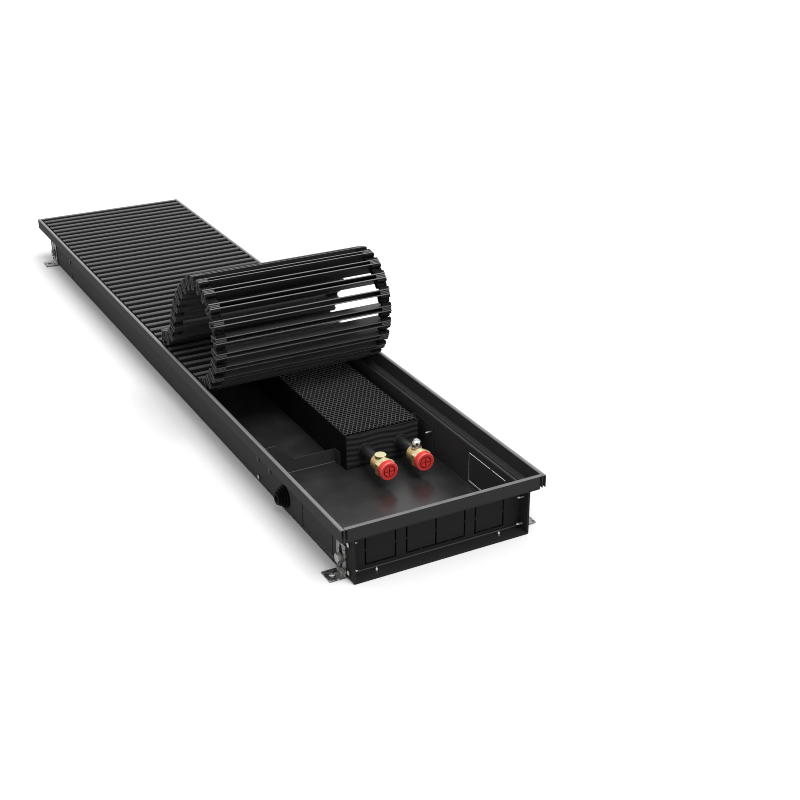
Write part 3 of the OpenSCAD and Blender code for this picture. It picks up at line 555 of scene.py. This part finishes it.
def prism(outline, low, high, edge, ends=0.0, fade=0.0, lines=0.0):
    # An outline in X and Z drawn out along Y, with chamfers of size edge at both ends.
    # Its ends may be marked for wear and highlight over a length, and its lines are how strongly
    # the outline is marked.
    out = np.asarray(outline, float)
    along = np.roll(out, -1, axis=0) - np.roll(out, 1, axis=0)
    normal = np.stack([along[:, 1], -along[:, 0]], 1)
    normal /= np.linalg.norm(normal, axis=1)[:, None]
    area = (out[:, 0] * np.roll(out[:, 1], -1) - np.roll(out[:, 0], -1) * out[:, 1]).sum()
    inner = out - normal * edge * np.sign(area)
    rings = [(inner, low, ends), (out, low + edge, ends)]
    if fade:
        rings += [(out, low + edge + fade, 0), (out, high - edge - fade, 0)]
    rings += [(out, high - edge, ends), (inner, high, ends)]
    points = [np.stack([ring[:, 0], np.full(len(ring), y), ring[:, 1]], 1) for ring, y, _ in rings]
    wearAndHighlight = [np.maximum(np.broadcast_to(lines, len(out)), share) for _, _, share in rings]
    return sweep(np.array(points), np.array(wearAndHighlight))


def lathe(profile, count, flat=None):
    # A closed profile of (along, radius) turned about X. With a flat, the radius is
    # min(radius, flat / cos(angle from the middle of the nearest of six flats)).
    profile = np.asarray(profile, float)
    angle = np.arange(count) * 2 * np.pi / count
    radius = np.broadcast_to(profile[:, 1], (count, len(profile)))
    if flat:
        sixth = np.pi / 3
        off = (angle + sixth / 2) % sixth - sixth / 2
        radius = np.minimum(radius, (flat / np.cos(off))[:, None])
    return sweep(np.stack([
        np.broadcast_to(profile[:, 0], radius.shape),
        radius * np.cos(angle)[:, None], radius * np.sin(angle)[:, None],
    ], -1), closed=True)


def piece(name, part, material, body, stands=(), sharp=32):
    # One shown mesh, drawn in millimetres
    mesh = bpy.data.meshes.new(name)
    rows = [row for block in part.faces for row in block.tolist()]
    mesh.from_pydata((part.points * 0.001).tolist(), [], rows)
    work = bmesh.new()
    work.from_mesh(mesh)
    bmesh.ops.recalc_face_normals(work, faces=work.faces)
    work.to_mesh(mesh)
    work.free()
    wearAndHighlight = mesh.attributes.new("wearAndHighlight", "FLOAT", "POINT")
    wearAndHighlight.data.foreach_set("value", part.wearAndHighlight)
    shown(name, mesh, material, body, stands, sharp)


def shown(name, mesh, material, body, stands, sharp):
    mesh.shade_smooth()
    mesh.set_sharp_from_angle(angle=math.radians(sharp))
    mesh.materials.append(material)
    obj = bpy.data.objects.new(name, mesh)
    bpy.context.scene.collection.objects.link(obj)
    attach(obj, body)
    if stands:
        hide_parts(*stands)
    return obj


# Grille: the slats' open profile with rounded edges, link blocks that fill its ends, pins
grille = {
    "pitch": 19.3, "flat": 39, "count": 61, "height": 66.0, "half": 121.6,
    "wide": 4.0, "wall": 1.4, "deep": 9.0, "top": 1.6, "lip": 0.40, "lipHighlightTop": 0.5,
    "lipLine": 0.06, "topHighlight": 0.14, "endWearAndHighlight": 0.35, "endFade": 0.35, "slatEdge": 0.15,
    "link": 114.6, "linkHalf": 6.7, "linkDeep": 8.8, "core": 2.5, "coreTop": 7.4,
    "ridges": (1.0, 0.5), "ridgeHigh": 0.9, "coreEdge": 0.1, "edge": 0.3, "corner": 0.2,
    "knuckle": 4.0, "hinge": 9.65, "ear": 3.1, "tongue": 2.8,
    "shoulder": (4.0, 7.3, -8.5, -4.5), "shoulderRound": 0.4,
    "pin": 1.5, "pinSides": 16, "pinEdge": 0.25,
}


def slatPart():
    g = grille
    w, t, d, lip = g["wide"], g["wide"] - g["wall"], g["deep"], g["lip"]
    roof = d - g["wall"]
    outline = rounded([
        (-w, -d), (-t, -d), (-t, roof), (t, roof), (t, -d), (w, -d), (w, d), (-w, d),
    ], [lip] * 6 + [g["top"]] * 2)
    # Marks for painted highlights on the legs' tips and the tops' edges, and for bare metal and
    # painted highlight at the cut ends
    outline = cutAt(outline, g["lipHighlightTop"] - d)
    lines = outline[:, 1] < g["lipLine"] - d
    lines = lines + g["topHighlight"] * (outline[:, 1] > d - g["top"])
    half = g["half"]
    return prism(outline, -half, half, g["slatEdge"], g["endWearAndHighlight"], g["endFade"], lines)


def linkPart(ears=True, tongue=True):
    g = grille
    r, half, wide, edge = g["knuckle"], g["linkHalf"], g["core"], g["edge"]
    reach, nearly = -g["hinge"] - r, r - 0.01
    side = rounded(
        [(reach, -r), (0, -r), (0, r), (reach, r)],
        [nearly, g["corner"], g["corner"], nearly], 6,
    )
    # Two ridges stand out below the core, at -a and a
    a, b = g["ridges"]
    foot, base = -g["linkDeep"], g["ridgeHigh"] - g["linkDeep"]
    core = np.array([
        (-wide, base), (-a - b, base), (-a - b, foot), (-a + b, foot), (-a + b, base),
        (a - b, base), (a - b, foot), (a + b, foot), (a + b, base), (wide, base),
        (wide, g["coreTop"]), (-wide, g["coreTop"]),
    ])
    ridges = (core[:, 1] < foot + g["coreEdge"]).astype(float)
    parts = [prism(core, -half, half, g["coreEdge"], lines=ridges)]
    near, far, low, high = g["shoulder"]
    shoulder = [(near, low), (far, low), (far, high), (near, high)]
    shoulder = rounded(shoulder, g["shoulderRound"])
    if ears:
        parts += [prism(side, g["ear"], half, edge), prism(side, -half, -g["ear"], edge)]
        parts.append(prism(shoulder * (-1, 1), -half, half, edge))
    if tongue:
        parts.append(prism(side * (-1, 1), -g["tongue"], g["tongue"], edge))
        parts.append(prism(shoulder, -half, half, edge))
    return joined(parts)


def atRows(part):
    return joined([part.placed(y=grille["link"]), part.placed(y=-grille["link"])])


pin = atRows(prism(
    circle(grille["pin"], grille["pinSides"]), -grille["linkHalf"], grille["linkHalf"],
    grille["pinEdge"],
).placed(x=-grille["hinge"]))
slat = slatPart()
flatPlaces = [
    dict(x=(i - (grille["count"] - 1) / 2) * grille["pitch"], z=grille["height"])
    for i in range(grille["flat"])
]
piece("grille_slats", joined([slat.placed(**p) for p in flatPlaces]),
      paint, "grille", ["flat_slats"])
piece("grille_links", joined([
    atRows(linkPart(ears=i > 0)).placed(**p) for i, p in enumerate(flatPlaces)
]), plastic, "grille", ["flat_links"])
piece("grille_pins", joined([pin.placed(**p) for p in flatPlaces[1:]]),
      zinc, "grille", ["flat_pins"])

# The roll: each slat stands half-way between its own hinge and the next one
pivots = np.array([
    [joint["pos_m"][0], joint["pos_m"][2]]
    for joint in frame["record"]["behaviour"]["joints"]
    if joint["name"].startswith("roll_joint_")
]) * 1000
ahead = np.diff(pivots, axis=0, append=pivots[-1:] + [[-grille["pitch"], 0]])
middles = pivots + ahead / 2
leans = np.arctan2(ahead[:, 1], ahead[:, 0])
for index, (middle, lean) in enumerate(zip(middles, leans)):
    number = f"{index + 1:02d}"
    spot = dict(x=middle[0], z=middle[1], lean=lean)
    links = atRows(linkPart(tongue=index < len(pivots) - 1))
    body, node = "roll_" + number, "roll_slat_" + number
    piece("slat_" + number, slat.placed(**spot), paint, body, [node])
    piece("links_" + number, links.placed(**spot), plastic, body)
    piece("pins_" + number, pin.placed(**spot), zinc, body)
print("grille made")


# Fins: zigzag sheets, x = start + i * pitch + (-1)^i * swing * triangle(y / period), so
# that neighbours lean towards each other and leave a honeycomb of openings
fins = {
    "count": 170, "start": -489.35, "pitch": 5.0, "left": -4.0, "right": 96.0, "columns": 34,
    "swing": 2.0, "thick": 0.42, "low": 3.0, "high": 48.0,
}


def finPart(swing):
    f = fins
    column = np.arange(f["columns"])
    y = f["left"] + (f["right"] - f["left"]) * column / (f["columns"] - 1)
    x = swing * (1 - 2 * (column % 2))
    half, low, high = f["thick"] / 2, f["low"], f["high"]
    corners = [(-half, low), (half, low), (half, high), (-half, high)]
    return sweep(np.stack([
        np.stack([x + dx, y, np.full(len(y), z)], 1) for dx, z in corners
    ], 1))


finKinds = [finPart(fins["swing"]), finPart(-fins["swing"])]
piece("zigzag_fins", joined([
    finKinds[i % 2].placed(x=fins["start"] + i * fins["pitch"]) for i in range(fins["count"])
]), finCoat, "trough", ["fin_pack"])

# Near tube plate: pressed with level ripples that wander a little across it,
# x = face - depth / 2 * (1 - cos(2 pi z / period + wander * sin(y / bow) + y / tilt))
plate = {
    "face": 363.0, "back": 361.9, "low": 3.0, "high": 48.0, "left": -4.0, "right": 96.0,
    "depth": 0.9, "period": 7.4, "wander": 0.8, "bow": 9, "tilt": 40, "across": 61, "up": 91,
}


def platePart():
    p = plate
    y = np.linspace(p["left"], p["right"], p["across"])[:, None]
    z = np.linspace(p["low"], p["high"], p["up"])[None, :]
    turn = 2 * np.pi * z / p["period"]
    wave = np.cos(turn + p["wander"] * np.sin(y / p["bow"]) + y / p["tilt"])
    front = p["face"] - p["depth"] / 2 * (1 - wave)
    rings = np.stack(np.broadcast_arrays(front, y, z), -1)
    ends = (z[:, -1:], z[:, :1])
    backs = [np.stack(np.broadcast_arrays(p["back"], y, end), -1) for end in ends]
    return sweep(np.concatenate([rings, *backs], 1))


piece("rippled_plate", platePart(), innerCoat, "trough", ["near_tube_plate"], 50)

# Collars that seal the tubes in the rippled plate, and valves: one turned profile with a
# hexagon, and the upright port
valve = {
    "at": 396.0, "tubes": (21.0, 71.0), "height": 24.0, "flat": 11.5, "port": 8.6,
    "sides": 96, "portSides": 48, "collarSides": 48,
    "collar": [(362.4, 7.45), (362.4, 9.6), (363.9, 9.6), (364.4, 9.1), (364.4, 7.45)],
    "profile": [
        (0, 7.6), (0, 9.2), (0.7, 10), (5.6, 10), (6, 9.7), (6.4, 10), (12.3, 10), (13, 9.4),
        (15.9, 9.4), (16, 11.4), (16.9, 13.25), (23.1, 13.25), (24, 11.7), (24, 9.3),
        (17, 9.3), (17, 5.5), (5, 5.5), (5, 7.6),
    ],
    "portProfile": [(7, 4.5), (7, 6.4), (10.5, 6.4), (11, 5.9), (11, 4.5)],
}


def valvePart(y):
    v = valve
    port = lathe(v["portProfile"], v["portSides"]).swapped([2, 1, 0], (-1, 1, 1))
    both = joined([lathe(v["profile"], v["sides"], v["flat"]), port.placed(x=v["port"])])
    return both.placed(v["at"], y, v["height"])


for side, y in zip(("supply", "return"), valve["tubes"]):
    piece(side + "_valve_body", valvePart(y), brass, "trough", [side + "_valve"], 22)
piece("tube_collars", joined([
    lathe(valve["collar"], valve["collarSides"]).placed(y=y, z=valve["height"])
    for y in valve["tubes"]
]), innerCoat, "trough")

# Air vent: a turned collar and a knob of flat facets between rings of points, each ring
# turned by half a step against the one below
vent = {
    "x": 404.6, "y": 71.0, "base": 35.08, "sides": 9, "collarSides": 64,
    "collar": [
        (-2.9, 0.5), (-2.9, 4.4), (0, 4.4), (0, 5.8), (0.5, 6.3), (0.9, 6.3), (1.2, 5.4),
        (3.4, 5.4), (3.4, 0.5),
    ],
    "knob": [(3.4, 5.4), (4.4, 6.4), (6.2, 6.6), (8.0, 6.1), (9.4, 4.7), (10.1, 2.6)],
}


def facetedKnob(rings, sides):
    i = np.arange(len(rings))[:, None]
    angle = (np.arange(sides)[None, :] + i / 2) * 2 * np.pi / sides
    z, r = np.array(rings).T[:, :, None]
    points = np.stack([r * np.cos(angle), r * np.sin(angle), z + 0 * angle], -1)
    i = i[:-1] * sides
    j = np.arange(sides)[None, :]
    beside = (j + 1) % sides
    faces = [
        np.stack([i + j, i + beside, i + sides + j], -1).reshape(-1, 3),
        np.stack([i + beside, i + sides + beside, i + sides + j], -1).reshape(-1, 3),
        np.arange(sides)[None, ::-1], (len(rings) - 1) * sides + np.arange(sides)[None],
    ]
    return Part(points.reshape(-1, 3), faces)


spot = dict(x=vent["x"], y=vent["y"], z=vent["base"])
collar = lathe(vent["collar"], vent["collarSides"]).swapped([2, 1, 0], (-1, 1, 1))
piece("vent_collar", collar.placed(**spot), ventZinc, "air_vent", ["air_vent"])
piece("vent_knob", facetedKnob(vent["knob"], vent["sides"]).placed(**spot),
      chrome, "air_vent", sharp=5)

# Sheet-metal screws along Z: a domed head with a cross recess, and a thread whose radius is
# radius - depth * |2 * frac(down / thread + turn) - 1|, running out at the point. Painted
# highlights make the middle of some heads and the points bright.
screw = {
    "headRadius": 3.5, "headHeight": 1.9, "headSides": 48, "dome": 0.72, "skirt": 0.25,
    "under": 0.98, "cross": 0.42, "crossReach": 1.9, "crossDeep": 0.9, "brightReach": 2.6,
    "radius": 1.85, "depth": 0.55, "thread": 1.5, "sides": 20, "steps": 8,
    "tip": 2.6, "blunt": 0.4, "brightFade": 0.4, "shank": 0.2, "long": 9.9, "short": 6.8,
    "wallY": 111.0, "panelBright": 0.8,
    "panel": (584.0, (9.3, 44.2)), "floor": (584.0, 78.0),
    # Each support screw: x, z and how bright its head's painted highlight is
    "support": (
        (339.0, 8.5, 0.8), (339.0, 33.0, 0.04), (374.0, 33.0, 0.04),
        (-472.7, 8.5, 0.04), (-472.7, 33.0, 0.04),
    ),
}


def threadPart(length):
    s = screw
    count = int(length / s["thread"] * s["steps"]) + 1
    down = np.linspace(0, 1, count)[:, None] * length
    turn = np.arange(s["sides"])[None, :] / s["sides"]
    ridge = np.abs(2 * ((down / s["thread"] + turn) % 1) - 1)
    taper = np.clip((length - down) / s["tip"], s["blunt"], 1)
    radius = (s["radius"] - s["depth"] * ridge) * taper
    angle = turn * 2 * np.pi
    wearAndHighlight = np.clip((down - length + s["tip"]) / s["brightFade"], s["shank"], 1)
    return sweep(np.stack(np.broadcast_arrays(
        radius * np.cos(angle), radius * np.sin(angle), -down,
    ), -1), np.broadcast_to(wearAndHighlight, ridge.shape))


def headPart(bright):
    # z = headHeight * sqrt(1 - dome * (r / headRadius)^2), less the recess where the lesser
    # of |x| and |y| is small and r is short. The last two rings are the head's rim.
    s = screw
    r = np.append(np.linspace(0.15, 1, 9), [1, s["under"]])[:, None] * s["headRadius"]
    angle = np.arange(s["headSides"])[None, :] * 2 * np.pi / s["headSides"]
    x, y = r * np.cos(angle), r * np.sin(angle)
    z = s["headHeight"] * np.sqrt(np.clip(1 - s["dome"] * (r / s["headRadius"]) ** 2, 0, 1))
    cross = (np.minimum(abs(x), abs(y)) < s["cross"]) & (r < s["crossReach"])
    z = z - s["crossDeep"] * cross
    z[-2] = s["skirt"]
    z[-1] = 0.0
    wearAndHighlight = np.broadcast_to(bright * (r < s["brightReach"]), x.shape)
    return sweep(np.stack([x, y, z], -1), wearAndHighlight)


def wallScrew(x, z, s, bright):
    # Z of the screw becomes s * Y
    part = joined([headPart(bright), threadPart(screw["long"])])
    return part.swapped([0, 2, 1], (1, s, 1)).placed(x, s * screw["wallY"], z)


floorScrew = threadPart(screw["short"]).swapped([0, 1, 2], (1, 1, -1))
panelX, panelZ = screw["panel"]
floorX, floorY = screw["floor"]
corners = [(e, s) for e in (-1, 1) for s in (-1, 1)]
piece("panel_screws_shown", joined(
    [wallScrew(e * panelX, z, s, screw["panelBright"]) for e, s in corners for z in panelZ]
    + [floorScrew.placed(e * floorX, s * floorY, 0) for e, s in corners]
), screwZinc, "trough", ["panel_screws"], 50)
piece("support_screws_shown", joined(
    [wallScrew(x, z, s, bright) for x, z, bright in screw["support"] for s in (-1, 1)]
), screwZinc, "trough", ["support_screws"], 50)

# Painted shade at the scored slits, as thin dark frames just outside and inside each slit,
# dark sheets of painted shade behind the end panels' slits, and painted highlights as bright
# rings round the slits on the inside of the long walls
slits = {
    "panel": 576.71, "wall": 111.01, "thick": 0.04, "slit": 1.5, "wide": 0.2,
    "behind": 575.3, "shadeBehind": (0.8, 3.1), "inside": 109.75, "glint": 0.45,
    "corners": (-88.4, -37.65, -0.75, 50.0), "panelSize": (38.4, 8.0, 38.4),
    "wallSize": (80.0, 6.0, 39.0), "wallX": 465.0,
}


def slitEdges(left, size, face, rings):
    # Flat rings in X and Z, from how far outside the slit's outer edge and how wide, whose
    # thickness goes from the face towards +Y
    length, low, high = size
    back = face + slits["thick"]
    parts = []
    for grow, wide in rings:
        loops = []
        for out, y in ((grow, face), (grow, back), (grow - wide, back), (grow - wide, face)):
            x0, x1 = left - out, left + length + out
            z0, z1 = low - out, low + high + out
            loops.append([(x0, y, z0), (x1, y, z0), (x1, y, z1), (x0, y, z1)])
        parts.append(sweep(np.array(loops).transpose(1, 0, 2), closed=True))
    return joined(parts)


rings = [(slits["wide"], slits["wide"]), (-slits["slit"], slits["wide"])]
edges = [
    slitEdges(corner, slits["panelSize"], x, kind).swapped([1, 0, 2], (e, 1, 1))
    for x, kind in ((slits["panel"], rings), (slits["behind"], [slits["shadeBehind"]]))
    for corner in slits["corners"] for e in (-1, 1)
]
wallEdges = slitEdges(slits["wallX"], slits["wallSize"], slits["wall"], rings)
edges.append(wallEdges.swapped([0, 1, 2], (1, -1, 1)))
# Painted shade: near-black frames and sheets at the slits
piece("slit_shade_frames", joined(edges), shade, "trough")
# Painted highlight: bright rings round the long walls' slits, on their inner faces
glintRing = [(slits["glint"], slits["glint"])]
glints = slitEdges(slits["wallX"], slits["wallSize"], slits["inside"], glintRing)
glints = Part(glints.points, glints.faces, 1.0)
both = joined([glints, glints.swapped([0, 1, 2], (1, -1, 1))])
piece("slit_glints", both, zinc, "trough")

# Painted highlights on bends and cut edges, as thin pale pieces: the left support's toe, the
# foot of each end panel, and the left wall's lower lip under its slit. Each has an outline,
# how far it runs, its chamfer and how pale its painted highlight is.
bends = {
    "toe": ([(334.5, 1.2), (335.5, 1.2), (335.5, 2.0), (334.5, 2.0)], (-109.0, -5.2), 0.2, 0.8),
    "panel": ([(576.7, 2.6), (577.5, 2.6), (576.7, 3.4)], (-105.0, 105.0), 0.05, 0.4),
    "lip": (
        [(-111.25, 5.2), (-110.98, 5.2), (-110.98, 5.8), (-111.25, 5.8)],
        (470.0, 556.0), 0.1, 1.0,
    ),
}


def bendPart(name, radius=0.0):
    outline, run, edge, wearAndHighlight = bends[name]
    outline = rounded(outline, radius) if radius else outline
    return prism(outline, *run, edge, lines=wearAndHighlight)


panelBend = bendPart("panel")
piece("bend_highlights", joined([
    bendPart("toe", 0.3), panelBend, panelBend.swapped([0, 1, 2], (-1, 1, 1)),
    bendPart("lip").swapped([1, 0, 2]),
]), plastic, "trough")
print("exchanger, valves and small parts made")


# The plain solids: a merged copy of each with its edges bevelled by so many millimetres,
# apart from the short edges round the housing's holes
easing = {"weld": 0.00001, "flat": 0.5, "bent": 30, "shortest": 0.0012, "segments": 2}
solids = {
    "trough_pan": (coat, "housing", 0.25),
    "near_end_panel": (panelShadeCoat, "housing", 0.25), "far_end_panel": (panelShadeCoat, "housing", 0.25),
    "left_side_plate": (sideShadeCoat, "housing", 0.2), "right_side_plate": (sideShadeCoat, "housing", 0.2),
    "far_tube_plate": (innerCoat, "housing", 0.2),
    "near_left_support": (coat, "housing", 0.25), "near_right_support": (coat, "housing", 0.25),
    "far_left_support": (coat, "housing", 0.25), "far_right_support": (coat, "housing", 0.25),
    "supply_cap": (red, "caps", 0.22), "return_cap": (red, "caps", 0.22),
    "drain_plug": (brass, "brass", 0.4), "cable_grommet": (rubber, "rubber", 0.45),
    "near_left_foot": (spangled, "brackets", 0.3), "near_right_foot": (spangled, "brackets", 0.3),
    "far_left_foot": (spangled, "brackets", 0.3), "far_right_foot": (spangled, "brackets", 0.3),
    "clamp_bolts": (zinc, "fasteners", 0.4), "clamp_washers": (blackZinc, "fasteners", 0.2),
    "clamp_nuts": (zinc, "fasteners", 0.3),
}
bodyOf = {
    name: body
    for body, members in frame["record"]["behaviour"]["bodies"].items() for name in members
}
for name, (material, slot, width) in solids.items():
    mesh = bpy.data.meshes.new(name + "_eased")
    work = bmesh.new()
    work.from_mesh(nodes[name].data)
    bmesh.ops.remove_doubles(work, verts=work.verts, dist=easing["weld"])
    bmesh.ops.dissolve_limit(
        work, angle_limit=math.radians(easing["flat"]), verts=work.verts, edges=work.edges,
    )
    bmesh.ops.recalc_face_normals(work, faces=work.faces)
    weight = work.edges.layers.float.new("bevel_weight_edge")
    least = easing["shortest"] if slot == "housing" else 0.0
    sharpest = math.radians(easing["bent"])
    for edge in work.edges:
        bent = len(edge.link_faces) == 2 and edge.calc_face_angle() > sharpest
        edge[weight] = bent and edge.calc_length() > least
    work.to_mesh(mesh)
    work.free()
    for extra in [a for a in mesh.attributes if a.name == "custom_normal"]:
        mesh.attributes.remove(extra)
    mesh.materials.clear()
    obj = shown(name + "_eased", mesh, material, bodyOf[name], [name], 30)
    bevel = obj.modifiers.new("bevel", "BEVEL")
    bevel.width = width * 0.001
    bevel.segments = easing["segments"]
    bevel.limit_method = "WEIGHT"
    bevel.use_clamp_overlap = False
    bevel.harden_normals = True

plainNodes = {
    "supply_tube": tubeCoat, "return_tube": tubeCoat, "return_bend": tubeCoat,
    "damping_strips": strip,
}
for name, obj in nodes.items():
    for entry in obj.material_slots:
        entry.material = plainNodes.get(name, paint)
print("finishes laid on")


# Studio: a white floor, a soft sun from over the right end, an even white surround
studio = {
    "floor": 0.97, "seenFloor": 1.17, "floorSize": 60.0, "floorZ": -0.0002,
    "sky": 0.56, "sun": 0.47, "towardsSun": (0.42, 0.06, 0.91), "sunWidth": 31.0,
}


def makeStudio():
    s = studio
    half = s["floorSize"] / 2
    mesh = bpy.data.meshes.new("floor")
    corners = [(-half, -half), (half, -half), (half, half), (-half, half)]
    mesh.from_pydata([(x, y, s["floorZ"]) for x, y in corners], [], [(0, 1, 2, 3)])
    floor = bpy.data.objects.new("floor", mesh)
    bpy.context.scene.collection.objects.link(floor)
    f = finish("pale floor")
    # Is Camera Ray in its colour brings the floor itself up to white, with the same lamps
    seen = f.add("LightPath", out="Is Camera Ray")
    color = f.mix(seen, grey(s["floor"]), grey(s["seenFloor"]))
    shader = f.add("BsdfDiffuse", None, {"Color": color})
    f.add("OutputMaterial", None, {"Surface": shader})
    mesh.materials.append(f.owner)

    world = bpy.data.worlds.new("white surround")
    bpy.context.scene.world = world
    w = Finish(world)
    seen = w.add("LightPath", out="Is Camera Ray")
    seen = seen.atLeast(w.add("LightPath", out="Is Glossy Ray"))
    seen = seen.atLeast(w.add("LightPath", out="Is Transmission Ray"))
    level = s["sky"] + (1 - s["sky"]) * seen
    back = w.add("Background", None, {"Color": grey(1.0), "Strength": level})
    w.add("OutputWorld", None, {"Surface": back})

    towards = Vector(s["towardsSun"]).normalized()
    lamp = bpy.data.lights.new("soft sun", "SUN")
    lamp.angle = math.radians(s["sunWidth"])
    lamp.energy = s["sun"] * math.pi / towards.z
    sun = bpy.data.objects.new("soft sun", lamp)
    sun.rotation_mode = "QUATERNION"
    sun.rotation_quaternion = towards.to_track_quat("Z", "Y")
    bpy.context.scene.collection.objects.link(sun)


# The camera that was solved from the photograph: where it stands, the way it looks back
# along, its lens and sensor
shot = {
    "place": (1.6745, -0.6401, 0.7872), "back": (0.7947, -0.4306, 0.4279), "lens": 60.02,
    "sensor": 36, "filter": 1.0,
}


def makeCamera():
    data = bpy.data.cameras.new("camera")
    data.sensor_width = shot["sensor"]
    data.lens = shot["lens"]
    camera = bpy.data.objects.new("camera", data)
    camera.location = shot["place"]
    camera.rotation_mode = "QUATERNION"
    camera.rotation_quaternion = Vector(shot["back"]).to_track_quat("Z", "Y")
    bpy.context.scene.collection.objects.link(camera)
    bpy.context.scene.camera = camera


makeStudio()
makeCamera()
bpy.context.scene.view_settings.view_transform = "Standard"
bpy.context.scene.cycles.filter_width = shot["filter"]
print("studio and camera made")
